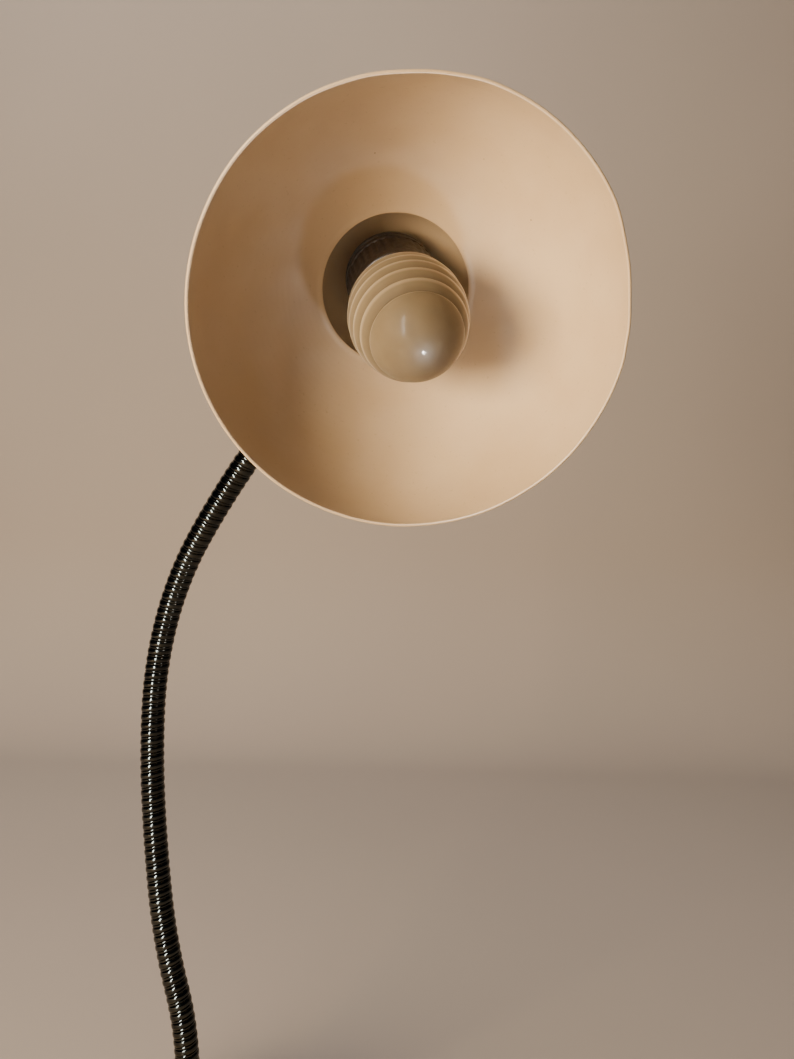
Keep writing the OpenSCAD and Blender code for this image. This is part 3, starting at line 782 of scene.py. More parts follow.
@dataclass(frozen=True)
class Enamel:
    """Satin cream enamel on spun sheet, a little yellowed, with specks and chips.

    Attributes:
        name: Name of the finish.
        cream: Colour of the enamel.
        aged: Colour of the yellowed parts.
        frame_at: Frame of the piece, for the marks that follow its turning.
        rings: Height of the spinning rings, in millimetres.
        specks: Places of small specks in the piece's frame with their radii, in millimetres.
        chips: Places of small chips in the piece's frame with their radii, in millimetres.
        speck_tint: Colour of the specks.
        chip_tint: Colour of the chips.
        peel: Height of the enamel's uneven surface, in millimetres.
    """

    name: str
    cream: Colour
    aged: Colour
    frame_at: Optional[Matrix] = None
    rings: float = 0.02
    specks: tuple[tuple[Corner, float], ...] = ()
    chips: tuple[tuple[Corner, float], ...] = ()
    speck_tint: Colour = (0.05, 0.035, 0.02)
    chip_tint: Colour = (0.16, 0.045, 0.02)
    peel: float = 0.03

    def make(self) -> Material:
        """Builds the material.

        Returns:
            The material.
        """
        paint = Paint(self.name)
        spot = paint.coords(self.frame_at)
        cloud = paint.ramp(paint.noise(spot, 22, 4, 0.55), 0.35, 0.7)
        colour = paint.mix(cloud, self.cream, self.aged)
        dust = paint.ramp(paint.noise(spot, 700, 2, 0.5), 0.66, 0.74, 0.0, 0.35)
        colour = paint.mix(dust, colour, darker(self.aged, 0.7))
        for marks, tint in ((self.specks, self.speck_tint), (self.chips, self.chip_tint)):
            for centre, radius in marks:
                colour = paint.mix(self._near(paint, spot, centre, radius), colour, tint)
        rough = paint.ramp(paint.noise(spot, 60, 3), 0.3, 0.7, 0.36, 0.46)
        uneven = paint.bump(paint.noise(spot, 430, 2, 0.4), 0.3, self.peel)
        paint.feed(Specular_IOR_Level=0.45, Base_Color=colour, Roughness=rough,
                   Normal=self._spun(paint, spot, uneven))
        return paint.material

    def _near(self, paint: Paint, spot: Socket, centre: Corner, radius: float) -> Socket:
        """Makes the mask of one mark.

        Args:
            paint: The material's nodes.
            spot: The coordinate socket.
            centre: Centre of the mark in millimetres.
            radius: Radius of the mark in millimetres.

        Returns:
            A socket that gives 1 on the mark and 0 away from it, with a ragged edge.
        """
        gap = paint.add("VectorMath", operation="DISTANCE")
        paint.put(gap.inputs[0], spot)
        paint.put(gap.inputs[1], [c * MM for c in centre])
        ragged = paint.calc("MULTIPLY", paint.noise(spot, 1200, 2), radius * MM)
        away = paint.calc("ADD", gap.outputs["Value"], ragged)
        return paint.ramp(away, radius * MM, 1.7 * radius * MM, 1.0, 0.0)

    def _spun(self, paint: Paint, spot: Socket, under: Socket) -> Socket:
        """Adds the faint rings that spinning leaves round the axis.

        Args:
            paint: The material's nodes.
            spot: The coordinate socket.
            under: Normal of the bump that they lie on.

        Returns:
            The normal's socket.
        """
        wave = paint.add("TexWave", wave_type="RINGS", rings_direction="Z", Vector=spot,
                         Scale=140.0, Distortion=0.6, Detail=2.0)
        return paint.bump(wave.outputs["Fac"], 0.25, self.rings, under)


@dataclass(frozen=True)
class FrostedGlass:
    """Etched glass that scatters light, with a painted highlight on each ridge's crest and painted
    shade towards its grooves.

    Attributes:
        frame_at: Frame of the bulb, with +Z towards its tip.
        first: Height where the first ridge starts, in millimetres.
        pitch: Distance between ridges.
        last: Height where the last ridge ends.
        crest: Place of the crest in a ridge, as a share of the pitch.
        name: Name of the finish.
        colour: Colour of the glass.
        pale: Colour painted on the crest of each ridge as a highlight.
        roughness: Roughness of the etched surface.
        etching: Height of the etched grain, in millimetres.
    """

    frame_at: Matrix
    first: float
    pitch: float
    last: float
    crest: float
    name: str = "frosted_glass"
    colour: Colour = (0.165, 0.135, 0.09)
    pale: Colour = (0.30, 0.25, 0.175)
    roughness: float = 0.5
    etching: float = 0.01

    def make(self) -> Material:
        """Builds the material.

        Returns:
            The material.
        """
        paint = Paint(self.name)
        spot = paint.coords(self.frame_at)
        cloud = paint.ramp(paint.noise(spot, 70, 3), 0.3, 0.7)
        # Masks for a painted highlight on each ridge's crest and painted shade towards each groove
        crest_highlight, grooves = self._painted_ridge_light(paint, spot)
        colour = paint.mix(cloud, self.colour, darker(self.colour, 0.88))
        # Painted shade: the glass colour is darkened towards each groove
        colour = paint.mix(grooves, colour, darker(self.colour, 0.72))
        rough = paint.ramp(paint.noise(spot, 500, 3), 0.3, 0.7, self.roughness,
                           self.roughness + 0.1)
        # The base colour carries the painted highlight on each crest
        paint.feed(Subsurface_Weight=1.0, Subsurface_Scale=0.03, Subsurface_Radius=(1.0, 0.9, 0.8),
                   Coat_Weight=0.045, Coat_Roughness=0.05, Specular_IOR_Level=0.1, IOR=1.5,
                   Base_Color=paint.mix(crest_highlight, colour, self.pale), Roughness=rough,
                   Normal=paint.bump(paint.noise(spot, 2200, 3), 0.3, self.etching))
        return paint.material

    def _painted_ridge_light(self, paint: Paint, spot: Socket) -> tuple[Socket, Socket]:
        """Makes the masks of the painted highlight and the painted shade on the ridged part.

        Args:
            paint: The material's nodes.
            spot: The coordinate socket.

        Returns:
            A socket for the painted highlight on each crest and one for the painted shade towards
            each groove.
        """
        height = paint.add("SeparateXYZ", Vector=spot).outputs["Z"]
        above = paint.calc("SUBTRACT", height, self.first * MM)
        share = paint.calc("FRACT", paint.calc("DIVIDE", above, self.pitch * MM))
        inside = paint.calc("MULTIPLY", paint.calc("GREATER_THAN", height, self.first * MM),
                            paint.calc("LESS_THAN", height, self.last * MM))
        away = paint.calc("ABSOLUTE", paint.calc("SUBTRACT", share, self.crest + 0.04))
        # Painted highlight just past each crest, and painted shade on the slope down into each
        # groove
        crest_highlight = paint.ramp(away, 0.04, 0.24, 0.7, 0.0)
        grooves = paint.ramp(share, 0.55, 0.98, 0.0, 0.7)
        return paint.calc("MULTIPLY", crest_highlight, inside), paint.calc("MULTIPLY", grooves, inside)


class Finish(Enum):
    """The finishes that several pieces can share."""

    CHROME = Metal("bright_chrome", (0.78, 0.78, 0.76), (0.6, 0.6, 0.58), 0.07)
    WOUND = Metal("dark_nickel_wire", (0.06, 0.062, 0.056), (0.04, 0.04, 0.037), 0.1, 0.003)
    PLATE = Metal("zinc_plate", (0.5, 0.51, 0.5), (0.36, 0.36, 0.35), 0.34)
    BRASS = Metal("turned_brass", (0.62, 0.44, 0.17), (0.4, 0.27, 0.1), 0.26)
    CAP = Metal("rolled_cap", (0.6, 0.57, 0.52), (0.42, 0.39, 0.35), 0.3)
    IRON = Moulding("cast_iron", (0.035, 0.035, 0.037), (0.06, 0.055, 0.05), 0.7, 0.2)
    BAKELITE = Moulding("dark_bakelite", (0.030, 0.020, 0.012), (0.020, 0.013, 0.008), 0.42, 0.004)
    PLASTIC = Moulding("black_plastic", (0.016, 0.016, 0.017), (0.026, 0.026, 0.026), 0.42, 0.03)
    RUBBER = Moulding("lead_sheath", (0.02, 0.02, 0.02), (0.035, 0.035, 0.035), 0.6, 0.03)
    NYLON = Moulding("milky_nylon", (0.62, 0.6, 0.54), (0.5, 0.48, 0.42), 0.45)
    PORCELAIN = Moulding("glazed_porcelain", (0.72, 0.69, 0.62), (0.6, 0.56, 0.48), 0.2, 0.02, 0.6)
    JACKET = Moulding("wire_jacket", (0.05, 0.08, 0.2), (0.08, 0.1, 0.22), 0.42)
    VITRITE = Moulding("black_glass", (0.008, 0.008, 0.01), (0.014, 0.014, 0.016), 0.1, 0.002, 0.5)
    STEM = Moulding("clear_stem", (0.5, 0.52, 0.52), (0.4, 0.42, 0.42), 0.15, 0.002, 0.5)
    FELT = Felt()


class Finishes:
    """Keeps one material for each finish."""

    made: dict[str, Material] = {}

    @classmethod
    def get(cls, finish: object) -> Material:
        """Gives a finish's material and makes it the first time.

        Args:
            finish: A member of Finish, or a finish of a piece's own.

        Returns:
            The material.
        """
        recipe = finish.value if isinstance(finish, Finish) else finish
        if recipe.name not in cls.made:
            cls.made[recipe.name] = recipe.make()
        return cls.made[recipe.name]


def complete(obj: Thing, finish: object, body: str, node: str,
             angle: float = 35.0) -> None:
    """Smooths and dresses a piece that is in place, and lets it stand for a node of the frame.

    Args:
        obj: The piece.
        finish: Its finish all over.
        body: Body that it moves with.
        node: Node that it stands for.
        angle: Angle between faces, in degrees, up to which they are shaded smoothly.
    """
    smooth(obj, angle)
    obj.data.materials.clear()
    obj.data.materials.append(Finishes.get(finish))
    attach(obj, body)
    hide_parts(node)
    log.info("%s: %d faces, rides on %s", obj.name, len(obj.data.polygons), body)


# ---- base ----


@dataclass
class Base:
    """Round pressed cover on a weight, with felt pad, cord inlet and rocker switch.

    Attributes:
        radius: Outer radius of the cover.
        height: Height of its flat top.
        shoulder: Rounding of the shoulder.
        sheet: Thickness of the cover.
        pad: Thickness of the felt.
        pad_inset: Distance from the cover's edge to the felt's edge.
        switch_front: Distance of the switch in front of the centre.
        switch_r: Radius of the switch's body.
        switch_depth: Depth of the body below the top.
        bezel_r: Radius of the bezel.
        bezel: Height of the bezel.
        well: Length, width and height of the well in the bezel.
        rocker_size: Length, width and height of the rocker.
        hollow: Depth of the hollow on each side of the rocker's ridge.
        rocked: Angle of the rocker at rest, in degrees.
        inlet_angle: Compass angle of the cord inlet.
        facets: Faces round the cover and the pad.
        enamel: Finish of the cover.
    """

    radius: float = 75.0
    height: float = 26.0
    shoulder: float = 10.0
    sheet: float = 1.2
    pad: float = 2.0
    pad_inset: float = 4.0
    switch_front: float = 36.0
    switch_r: float = 9.5
    switch_depth: float = 14.0
    bezel_r: float = 11.5
    bezel: float = 2.0
    well: Corner = (8.8, 13.2, 14.0)
    rocker_size: Corner = (8.6, 12.2, 8.0)
    hollow: float = 1.1
    rocked: float = -9.0
    inlet_angle: float = 135.0
    facets: int = 128
    enamel: Enamel = Enamel("base_enamel", (0.61, 0.49, 0.335), (0.57, 0.44, 0.285))

    def build(self) -> None:
        """Builds and dresses the base's pieces."""
        self.cover()
        self.felt()
        self.inlet()
        self.switch()
        self.rocker()

    def cover(self) -> None:
        """Turns the cover with its round shoulder and its lower edge."""
        r, h, t, low = self.radius, self.height, self.sheet, self.pad
        centre = (r - self.shoulder, h - self.shoulder)
        outline: list[Point2] = [(0.0, h), (28.0, h), (50.0, h)]
        outline += arc(centre, self.shoulder, 90, 0, 14)
        outline += [(r, low + 4.0), (r, low + 0.5), (r - 0.4, low + 0.05), (r - t, low + 0.05),
                    (r - t, low + 4.0)]
        outline += arc(centre, self.shoulder - t, 0, 90, 10)
        outline += [(30.0, h - t), (0.0, h - t)]
        cover = turn("cover", outline, self.facets)
        complete(cover, self.enamel, "base", "base_cover", 40)

    def felt(self) -> None:
        """Turns the felt pad with a soft edge."""
        r = self.radius - self.pad_inset
        corners = [(0, 0, 0), (r - 0.2, 0, 0.4), (r, self.pad, 0.6), (0, self.pad, 0)]
        pad = turn("felt_pad", soften(corners), self.facets)
        complete(pad, Finish.FELT, "base", "base_pad")

    def inlet(self) -> None:
        """Turns the cord inlet's bushing with a rounded lip."""
        low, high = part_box("cord_inlet")
        bore, hole, lip = 3.4, 4.6, 6.0
        outline = soften([
            (bore, -2.6, 0), (lip - 0.1, -2.6, 0.3), (lip - 0.1, -1.5, 0.2), (hole, -1.35, 0),
            (hole, 0.05, 0), (lip, 0.05, 0.2), (lip, 1.2, 0.7), (4.8, 2.9, 0.8), (3.5, 3.0, 0.5),
            (bore, 2.4, 0)])
        inlet = turn("inlet_bushing", outline, 48, closed=True)
        angle = math.radians(self.inlet_angle)
        outwards = Vector((math.cos(angle), math.sin(angle), 0))
        at = outwards * self.radius * MM
        at.z = (low.z + high.z) / 2
        place(inlet, frame_matrix(at, outwards, Vector((0, 0, 1))))
        complete(inlet, Finish.PLASTIC, "base", "cord_inlet")

    def switch(self) -> None:
        """Turns the switch's body and bezel and cuts the rocker's well."""
        h, r, edge = self.height, self.switch_r, self.bezel_r
        foot, lip, top = h - self.switch_depth, h + 0.05, h + self.bezel
        corners = [(0, foot, 0), (r, foot, 0.5), (r, lip, 0), (edge, lip, 0.2),
                   (edge, top - 0.8, 0.8), (edge - 1.3, top, 0.6), (0, top, 0)]
        bezel = turn("switch_bezel", soften(corners), 64)
        cut_away(bezel, slab("well", self.well, (0, 0, h - 0.2), 0.3, 2))
        place(bezel, Matrix.Translation((0, -self.switch_front * MM, 0)))
        complete(bezel, Finish.PLASTIC, "base", "switch_body")

    def rocker(self) -> None:
        """Shapes the rocker: a block with a raised ridge across and two hollow faces."""
        rise, ridge, reach = 1.0, 0.2, 5.6
        top, taper_below, taper = 4.0, -2.0, 0.9
        rocker = slab("rocker", self.rocker_size, (0, 0, rise), 0.5)
        with editing(rocker):
            for cut_at in (-3.0, -1.5, 0.0, 1.5, 3.0):
                bpy.ops.mesh.select_all(action="SELECT")
                bpy.ops.mesh.bisect(plane_co=(0, cut_at * MM, 0), plane_no=(0, 1, 0))
            shape = bmesh.from_edit_mesh(rocker.data)
            for vertex in shape.verts:
                along = min(abs(vertex.co.y / MM) / reach, 1.0)
                if vertex.co.z > top * MM:
                    vertex.co.z += (ridge - self.hollow * math.sin(along * math.pi / 2)) * MM
                if vertex.co.z < taper_below * MM:
                    vertex.co.y *= taper
            bmesh.update_edit_mesh(rocker.data)
        pivot = Matrix.Translation(Vector(joint("rocker_press")["pos_m"]))
        place(rocker, pivot @ Matrix.Rotation(math.radians(self.rocked), 4, "X"))
        complete(rocker, Finish.PLASTIC, "rocker", "switch_rocker", 40)


# ---- arm ----


@dataclass
class Gooseneck:
    """Wound flexible arm: a full wire with a flat wire wound into its groove.

    Attributes:
        line: Centre line of the arm.
        radius: Outer radius over the turns.
        wire: Half the depth of the full wire.
        crest: Half the width of the full wire.
        fullness: Power that squares its section, 1 for an ellipse.
        section: Edges round its section.
        flat: Section of the flat wire, as radius and height from its middle.
        turns: Turns in one stretch.
        tail: Length hidden in the socket at each end.
        facets: Faces round one turn.
        spare: Length of the bending curve past each end of the line.
    """

    line: ArmLine
    radius: float = 6.0
    wire: float = 1.2
    crest: float = 1.72
    fullness: float = 0.8
    section: int = 20
    flat: tuple[Point2, ...] = (
        (4.25, -0.1), (5.2, -0.5), (5.5, -0.55), (5.66, -0.3), (5.7, 0.0), (5.66, 0.3),
        (5.5, 0.55), (5.2, 0.5), (4.25, 0.1))
    turns: int = 11
    tail: float = 7.8
    facets: int = 32
    spare: float = 14.0

    @property
    def pitch(self) -> float:
        """Rise of one turn."""
        return self.line.stretch / self.turns

    def build(self) -> None:
        """Winds one piece for each joint, from mid-stretch to mid-stretch."""
        curve = self.line.curve(self.spare)
        stretch = self.line.stretch
        count = len(self.line.bends) - 1
        for number in range(1, count + 1):
            start = -self.tail if number == 1 else (number - 0.5) * stretch
            end = (number + 0.5) * stretch if number < count else self.line.length + self.tail
            piece = self.wind(f"wound_arm_{number:02d}", start, end)
            bend = piece.modifiers.new("bend", "CURVE")
            bend.object = curve
            bend.deform_axis = "POS_Z"
            settle(piece)
            smooth(piece, 50)
            self.hang(piece, number)
        bpy.data.objects.remove(curve, do_unlink=True)

    def hang(self, piece: Thing, number: int) -> None:
        """Dresses a piece, which runs across its joint and stands for two stretches.

        Args:
            piece: The piece.
            number: Number of the joint, from 1.
        """
        piece.data.materials.clear()
        piece.data.materials.append(Finishes.get(Finish.WOUND))
        stretch = self.line.stretch
        self.line.at((number - 0.5) * stretch)
        self.line.at((number + 0.5) * stretch)
        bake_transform(piece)
        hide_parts(f"gooseneck_coil_{number:02d}", f"gooseneck_coil_{number + 1:02d}")

    def wind(self, name: str, start: float, end: float) -> Thing:
        """Winds both wires straight up, from one height to another.

        Args:
            name: Name of the piece.
            start: Height where it starts, in millimetres from the foot.
            end: Height where it ends.

        Returns:
            The straight piece.
        """
        def full(share: float) -> float:
            """Squares a cosine or a sine."""
            return math.copysign(abs(share) ** self.fullness, share)

        angles = [2 * math.pi * step / self.section for step in range(self.section)]
        wire = [(self.radius - self.wire + full(math.cos(a)) * self.wire,
                 full(math.sin(a)) * self.crest) for a in angles]
        flat = [(r, z + self.pitch / 2) for r, z in self.flat]
        return join(self.screw(name, wire, start, end),
                    self.screw(name + "_flat", flat, start, end))

    def screw(self, name: str, outline: Sequence[Point2], start: float, end: float) -> Thing:
        """Sweeps a wire's section along a helix and closes its two ends.

        Args:
            name: Name of the object.
            outline: Section of the wire.
            start: Height where it starts.
            end: Height where it ends.

        Returns:
            The helix.
        """
        helix = trace(name, outline, closed=True)
        rounds = (end - start) / self.pitch
        phase = 2 * math.pi * start / self.pitch
        place(helix, Matrix.Translation((0, 0, (start + self.spare) * MM))
              @ Matrix.Rotation(phase, 4, "Z"))
        sweep = helix.modifiers.new("sweep", "SCREW")
        sweep.axis = "Z"
        sweep.angle = 2 * math.pi * rounds
        sweep.screw_offset = (end - start) * MM
        sweep.steps = sweep.render_steps = round(self.facets * rounds)
        sweep.use_normal_calculate = True
        settle(helix)
        with editing(helix):
            bpy.ops.mesh.fill_holes(sides=0)
            bpy.ops.mesh.select_all(action="SELECT")
            bpy.ops.mesh.normals_make_consistent(inside=False)
        return helix


@dataclass
class Sockets:
    """Chrome ferrules at the two ends of the arm, and the knuckle behind the shade.

    Attributes:
        line: Centre line of the arm.
        head: Places of the head.
        bore: Radius of the bore round the gooseneck.
        wall: Wall of the sleeve.
        hole: Radius of the hole for the nipple.
        lower: Height of the lower ferrule.
        ball: Radius of the knuckle's ball.
        neck: Radius of its two necks.
    """

    line: ArmLine
    head: HeadPlaces
    bore: float = 6.15
    wall: float = 2.4
    hole: float = 5.02
    lower: float = 22.0
    ball: float = 11.0
    neck: float = 7.5

    def build(self) -> None:
        """Builds the two ferrules and the knuckle."""
        foot = Vector(self.line.foot) - Vector((0, 0, self.lower))
        lower = self.ferrule("lower_ferrule", self.lower, 14.5, 13.5)
        place(lower, Matrix.Translation(foot * MM))
        self.finish(lower, "base", "lower_socket")
        onwards = self.head.arm_end(self.line)
        back = Matrix.Translation((0, 0, -self.head.port * MM)) @ Matrix.Rotation(math.pi, 4, "X")
        upper = self.ferrule("upper_ferrule", self.head.ferrule, 9.5, 4.5)
        place(upper, onwards @ back)
        self.finish(upper, "head", "upper_socket")
        self.knuckle(onwards)

    def ferrule(self, name: str, height: float, foot_r: float, shoulder: float) -> Thing:
        """Turns a ferrule with a foot flange, a swept neck and two fine grooves.

        Args:
            name: Name of the piece.
            height: Height of the ferrule.
            foot_r: Radius of its foot.
            shoulder: Height of the shoulder that the arm's end rests on.

        Returns:
            The ferrule, standing on its foot at the origin.
        """
        sleeve = self.bore + self.wall
        sweep = foot_r - sleeve
        outline = [(self.hole, 0.0), (foot_r - 0.3, 0.0), (foot_r, 0.3), (foot_r, 2.2)]
        outline += arc((foot_r, 2.5 + sweep), sweep, -92, -178, 8)
        outline += [(sleeve, 2.9 + sweep)]
        for below_top in (6.4, 4.6):
            outline += groove(sleeve, height - below_top, 0.35, 0.3, 0.4)
        outline += [(sleeve, height - 0.9), (sleeve - 0.25, height - 0.3), (sleeve - 0.8, height),
                    (self.bore + 0.4, height), (self.bore, height - 0.4), (self.bore, shoulder),
                    (self.hole, shoulder)]
        return turn(name, outline, closed=True)

    def necked_ball(self, name: str, length: float) -> Thing:
        """Turns the ball with one neck downwards.

        Args:
            name: Name of the piece.
            length: Distance from the ball's centre to the end of the neck.

        Returns:
            The ball at the origin.
        """
        neck = self.neck
        start = math.degrees(math.asin(neck / self.ball)) - 90
        meeting = self.ball * math.cos(math.radians(start + 90))
        outline = [(0.0, -length), (neck - 0.4, -length), (neck, -length + 0.4)]
        outline += groove(neck, -length + 1.4, 0.3, 0.2, 0.3)
        outline += [(neck, -meeting - 0.4)]
        outline += arc((0, 0), self.ball, start, 90, 26)
        return turn(name, outline)

    def knuckle(self, onwards: Matrix) -> None:
        """Joins the knuckle from two turned balls, so that it has a neck each way.

        Args:
            onwards: Frame of the ball with +Z onwards along the arm.
        """
        first = self.necked_ball("knuckle_ball", self.head.port)
        place(first, onwards)
        second = self.necked_ball("knuckle_neck", self.head.reach - self.head.seat)
        place(second, self.head.ball @ Matrix.Rotation(math.pi, 4, "X"))
        self.finish(join(first, second), "head", "knuckle")

    def finish(self, obj: Thing, body: str, node: str) -> None:
        """Plates and hangs one of the pieces."""
        complete(obj, Finish.CHROME, body, node, 32)


# ---- shade ----


@dataclass
class Shade:
    """Round bowl spun from sheet, with a domed neck, a slot and a turned edge.

    Attributes:
        head: Places of the head.
        dome: Inner radius of the dome.
        rim: Inner radius at the rim.
        rim_z: Height of the rim above the dome's centre.
        sheet: Thickness of the sheet.
        edge: Thickness of the turned edge.
        facets: Faces round the shade.
        slot_half: Half the width of the slot.
        slot_reach: Angle between the slot's two ends, in degrees.
        pushed_from: Share of the rim's height where the pushes begin.
        rim_pushes: How far the rim is pushed out at angles counted from the viewer's right.
        specks: Specks as offsets from the rim's centre in the view, and radii in millimetres.
        chips: Chips, in the same way.
    """

    head: HeadPlaces
    dome: float = 31.0
    rim: float = 79.0
    rim_z: float = 65.7
    sheet: float = 1.0
    edge: float = 1.3
    facets: int = 192
    slot_half: float = 5.3
    slot_reach: float = 26.0
    pushed_from: float = 0.35
    rim_pushes: tuple[Point2, ...] = (
        (-20, 0.6), (-10, 0.4), (-2, -0.4), (8, -1.2), (18, -1.0), (31, 0.0), (50, -0.1),
        (70, -0.3), (82, -0.9), (92, -1.1), (105, -0.7), (122, -0.3), (140, -0.1), (160, -0.3),
        (180, -0.3), (210, -0.5), (240, -0.5), (268, 0.1), (300, 0.7), (320, 0.9))
    specks: tuple[Corner, ...] = ((-33.0, 144.0, 0.28), (76.0, 138.0, 0.22), (123.0, 77.0, 0.3))
    chips: tuple[Corner, ...] = ((160.0, 168.0, 0.9),)

    @property
    def bowl_z(self) -> float:
        """Height of the bowl's centre above the dome's centre."""
        return (self.rim ** 2 + self.rim_z ** 2 - self.dome ** 2) / (2 * self.rim_z)

    @property
    def bowl(self) -> float:
        """Inner radius of the bowl."""
        return math.hypot(self.dome, self.bowl_z)

    def build(self) -> None:
        """Builds and dresses the shade."""
        shade = turn("spun_shade", self.outline(), self.facets)
        self.slot(shade)
        self.knocks(shade)
        place(shade, self.head.shade)
        complete(shade, self.enamel(), "shade", "shade", 38)

    def outline(self) -> list[Point2]:
        """Draws the sheet: inside from the dome to the rim, and back along the outside.

        Returns:
            The outline as points of radius and height.
        """
        centre = (0.0, self.bowl_z)
        hole = math.degrees(math.asin(self.dome / self.bowl))
        lip = math.degrees(math.asin(self.rim / self.bowl))
        outline = arc((0, 0), self.dome, -90, -4, 16)
        outline += [(self.dome, -0.6), (self.dome + 0.15, 0.1), (self.dome + 0.8, 0.55)]
        outline += arc(centre, self.bowl, -90 + hole + 1.4, -90 + lip, 44)
        outline += arc((self.rim + self.sheet / 2, self.rim_z + 0.1), self.edge / 2, 190, -10, 10)
        outline += arc(centre, self.bowl + self.sheet, -90 + lip, -90 + hole + 0.4, 44)
        outline += arc((0, 0), self.dome + self.sheet, -4, -90, 16)
        return outline

    def slot(self, shade: Thing) -> None:
        """Cuts the slot in the dome that the nipple runs in as the shade tilts.

        Args:
            shade: The shade before it is put in its place.
        """
        half, reach = self.slot_half, math.radians(self.slot_reach)
        run = 2 * (self.dome + self.sheet / 2) * math.sin(reach / 2)
        cutter = slab("slot_cutter", (2 * half + run, 2 * half, 16.0),
                      (0, 0, -self.dome - self.sheet), half - 0.1, 8)
        place(cutter, Matrix.Rotation(-reach / 2, 4, "Y"))
        cut_away(shade, cutter)

    def push(self, angle: float) -> float:
        """Gives the push at an angle, in millimetres, eased between the listed angles.

        Args:
            angle: Angle in degrees.

        Returns:
            The push outwards.
        """
        first, push = self.rim_pushes[0]
        knots = [*self.rim_pushes, (first + 360, push)]
        angle = (angle - first) % 360 + first
        (low, here), (high, onwards) = next(
            pair for pair in zip(knots, knots[1:]) if pair[0][0] <= angle <= pair[1][0])
        ease = 0.5 - 0.5 * math.cos(math.pi * (angle - low) / (high - low))
        return here + (onwards - here) * ease

    def knocks(self, shade: Thing) -> None:
        """Pushes the rim out and in where it isn't quite round.

        Args:
            shade: The shade before it is put in its place.
        """
        turned = self.head.shade.to_3x3()
        for vertex in shade.data.vertices:
            height = vertex.co.z / MM / self.rim_z
            if height <= self.pushed_from:
                continue
            outwards = Vector((vertex.co.x, vertex.co.y, 0)).normalized()
            away = turned @ outwards
            angle = math.degrees(math.atan2(away.dot(VIEWER.up), away.dot(VIEWER.right)))
            weight = ((height - self.pushed_from) / (1 - self.pushed_from)) ** 1.5
            vertex.co += outwards * self.push(angle) * weight * MM

    def enamel(self) -> Enamel:
        """Mixes the shade's own enamel, with its specks and the chip at the rim.

        Returns:
            The finish.
        """
        specks, chips = (tuple((self.inside(right, up), size) for right, up, size in marks)
                         for marks in (self.specks, self.chips))
        return Enamel("shade_enamel", (0.585, 0.465, 0.315), (0.54, 0.415, 0.265),
                      self.head.shade, 0.03, specks, chips)

    def inside(self, right: float, up: float) -> Corner:
        """Finds the place inside the bowl that is seen at an offset from the rim's centre.

        Args:
            right: Offset to the right, in pixels of the full view.
            up: Offset upwards, in the same unit.

        Returns:
            The place in the shade's frame, in millimetres.
        """
        turned = self.head.shade.inverted()
        start = turned @ VIEWER.eye / MM
        way = (turned.to_3x3() @ VIEWER.ray(right, up)).normalized()
        gap = start - Vector((0, 0, self.bowl_z))
        half = gap.dot(way)
        root = half ** 2 - gap.length_squared + self.bowl ** 2
        return tuple(start + way * (math.sqrt(max(root, 0.0)) - half))


# ---- holder and bulb ----


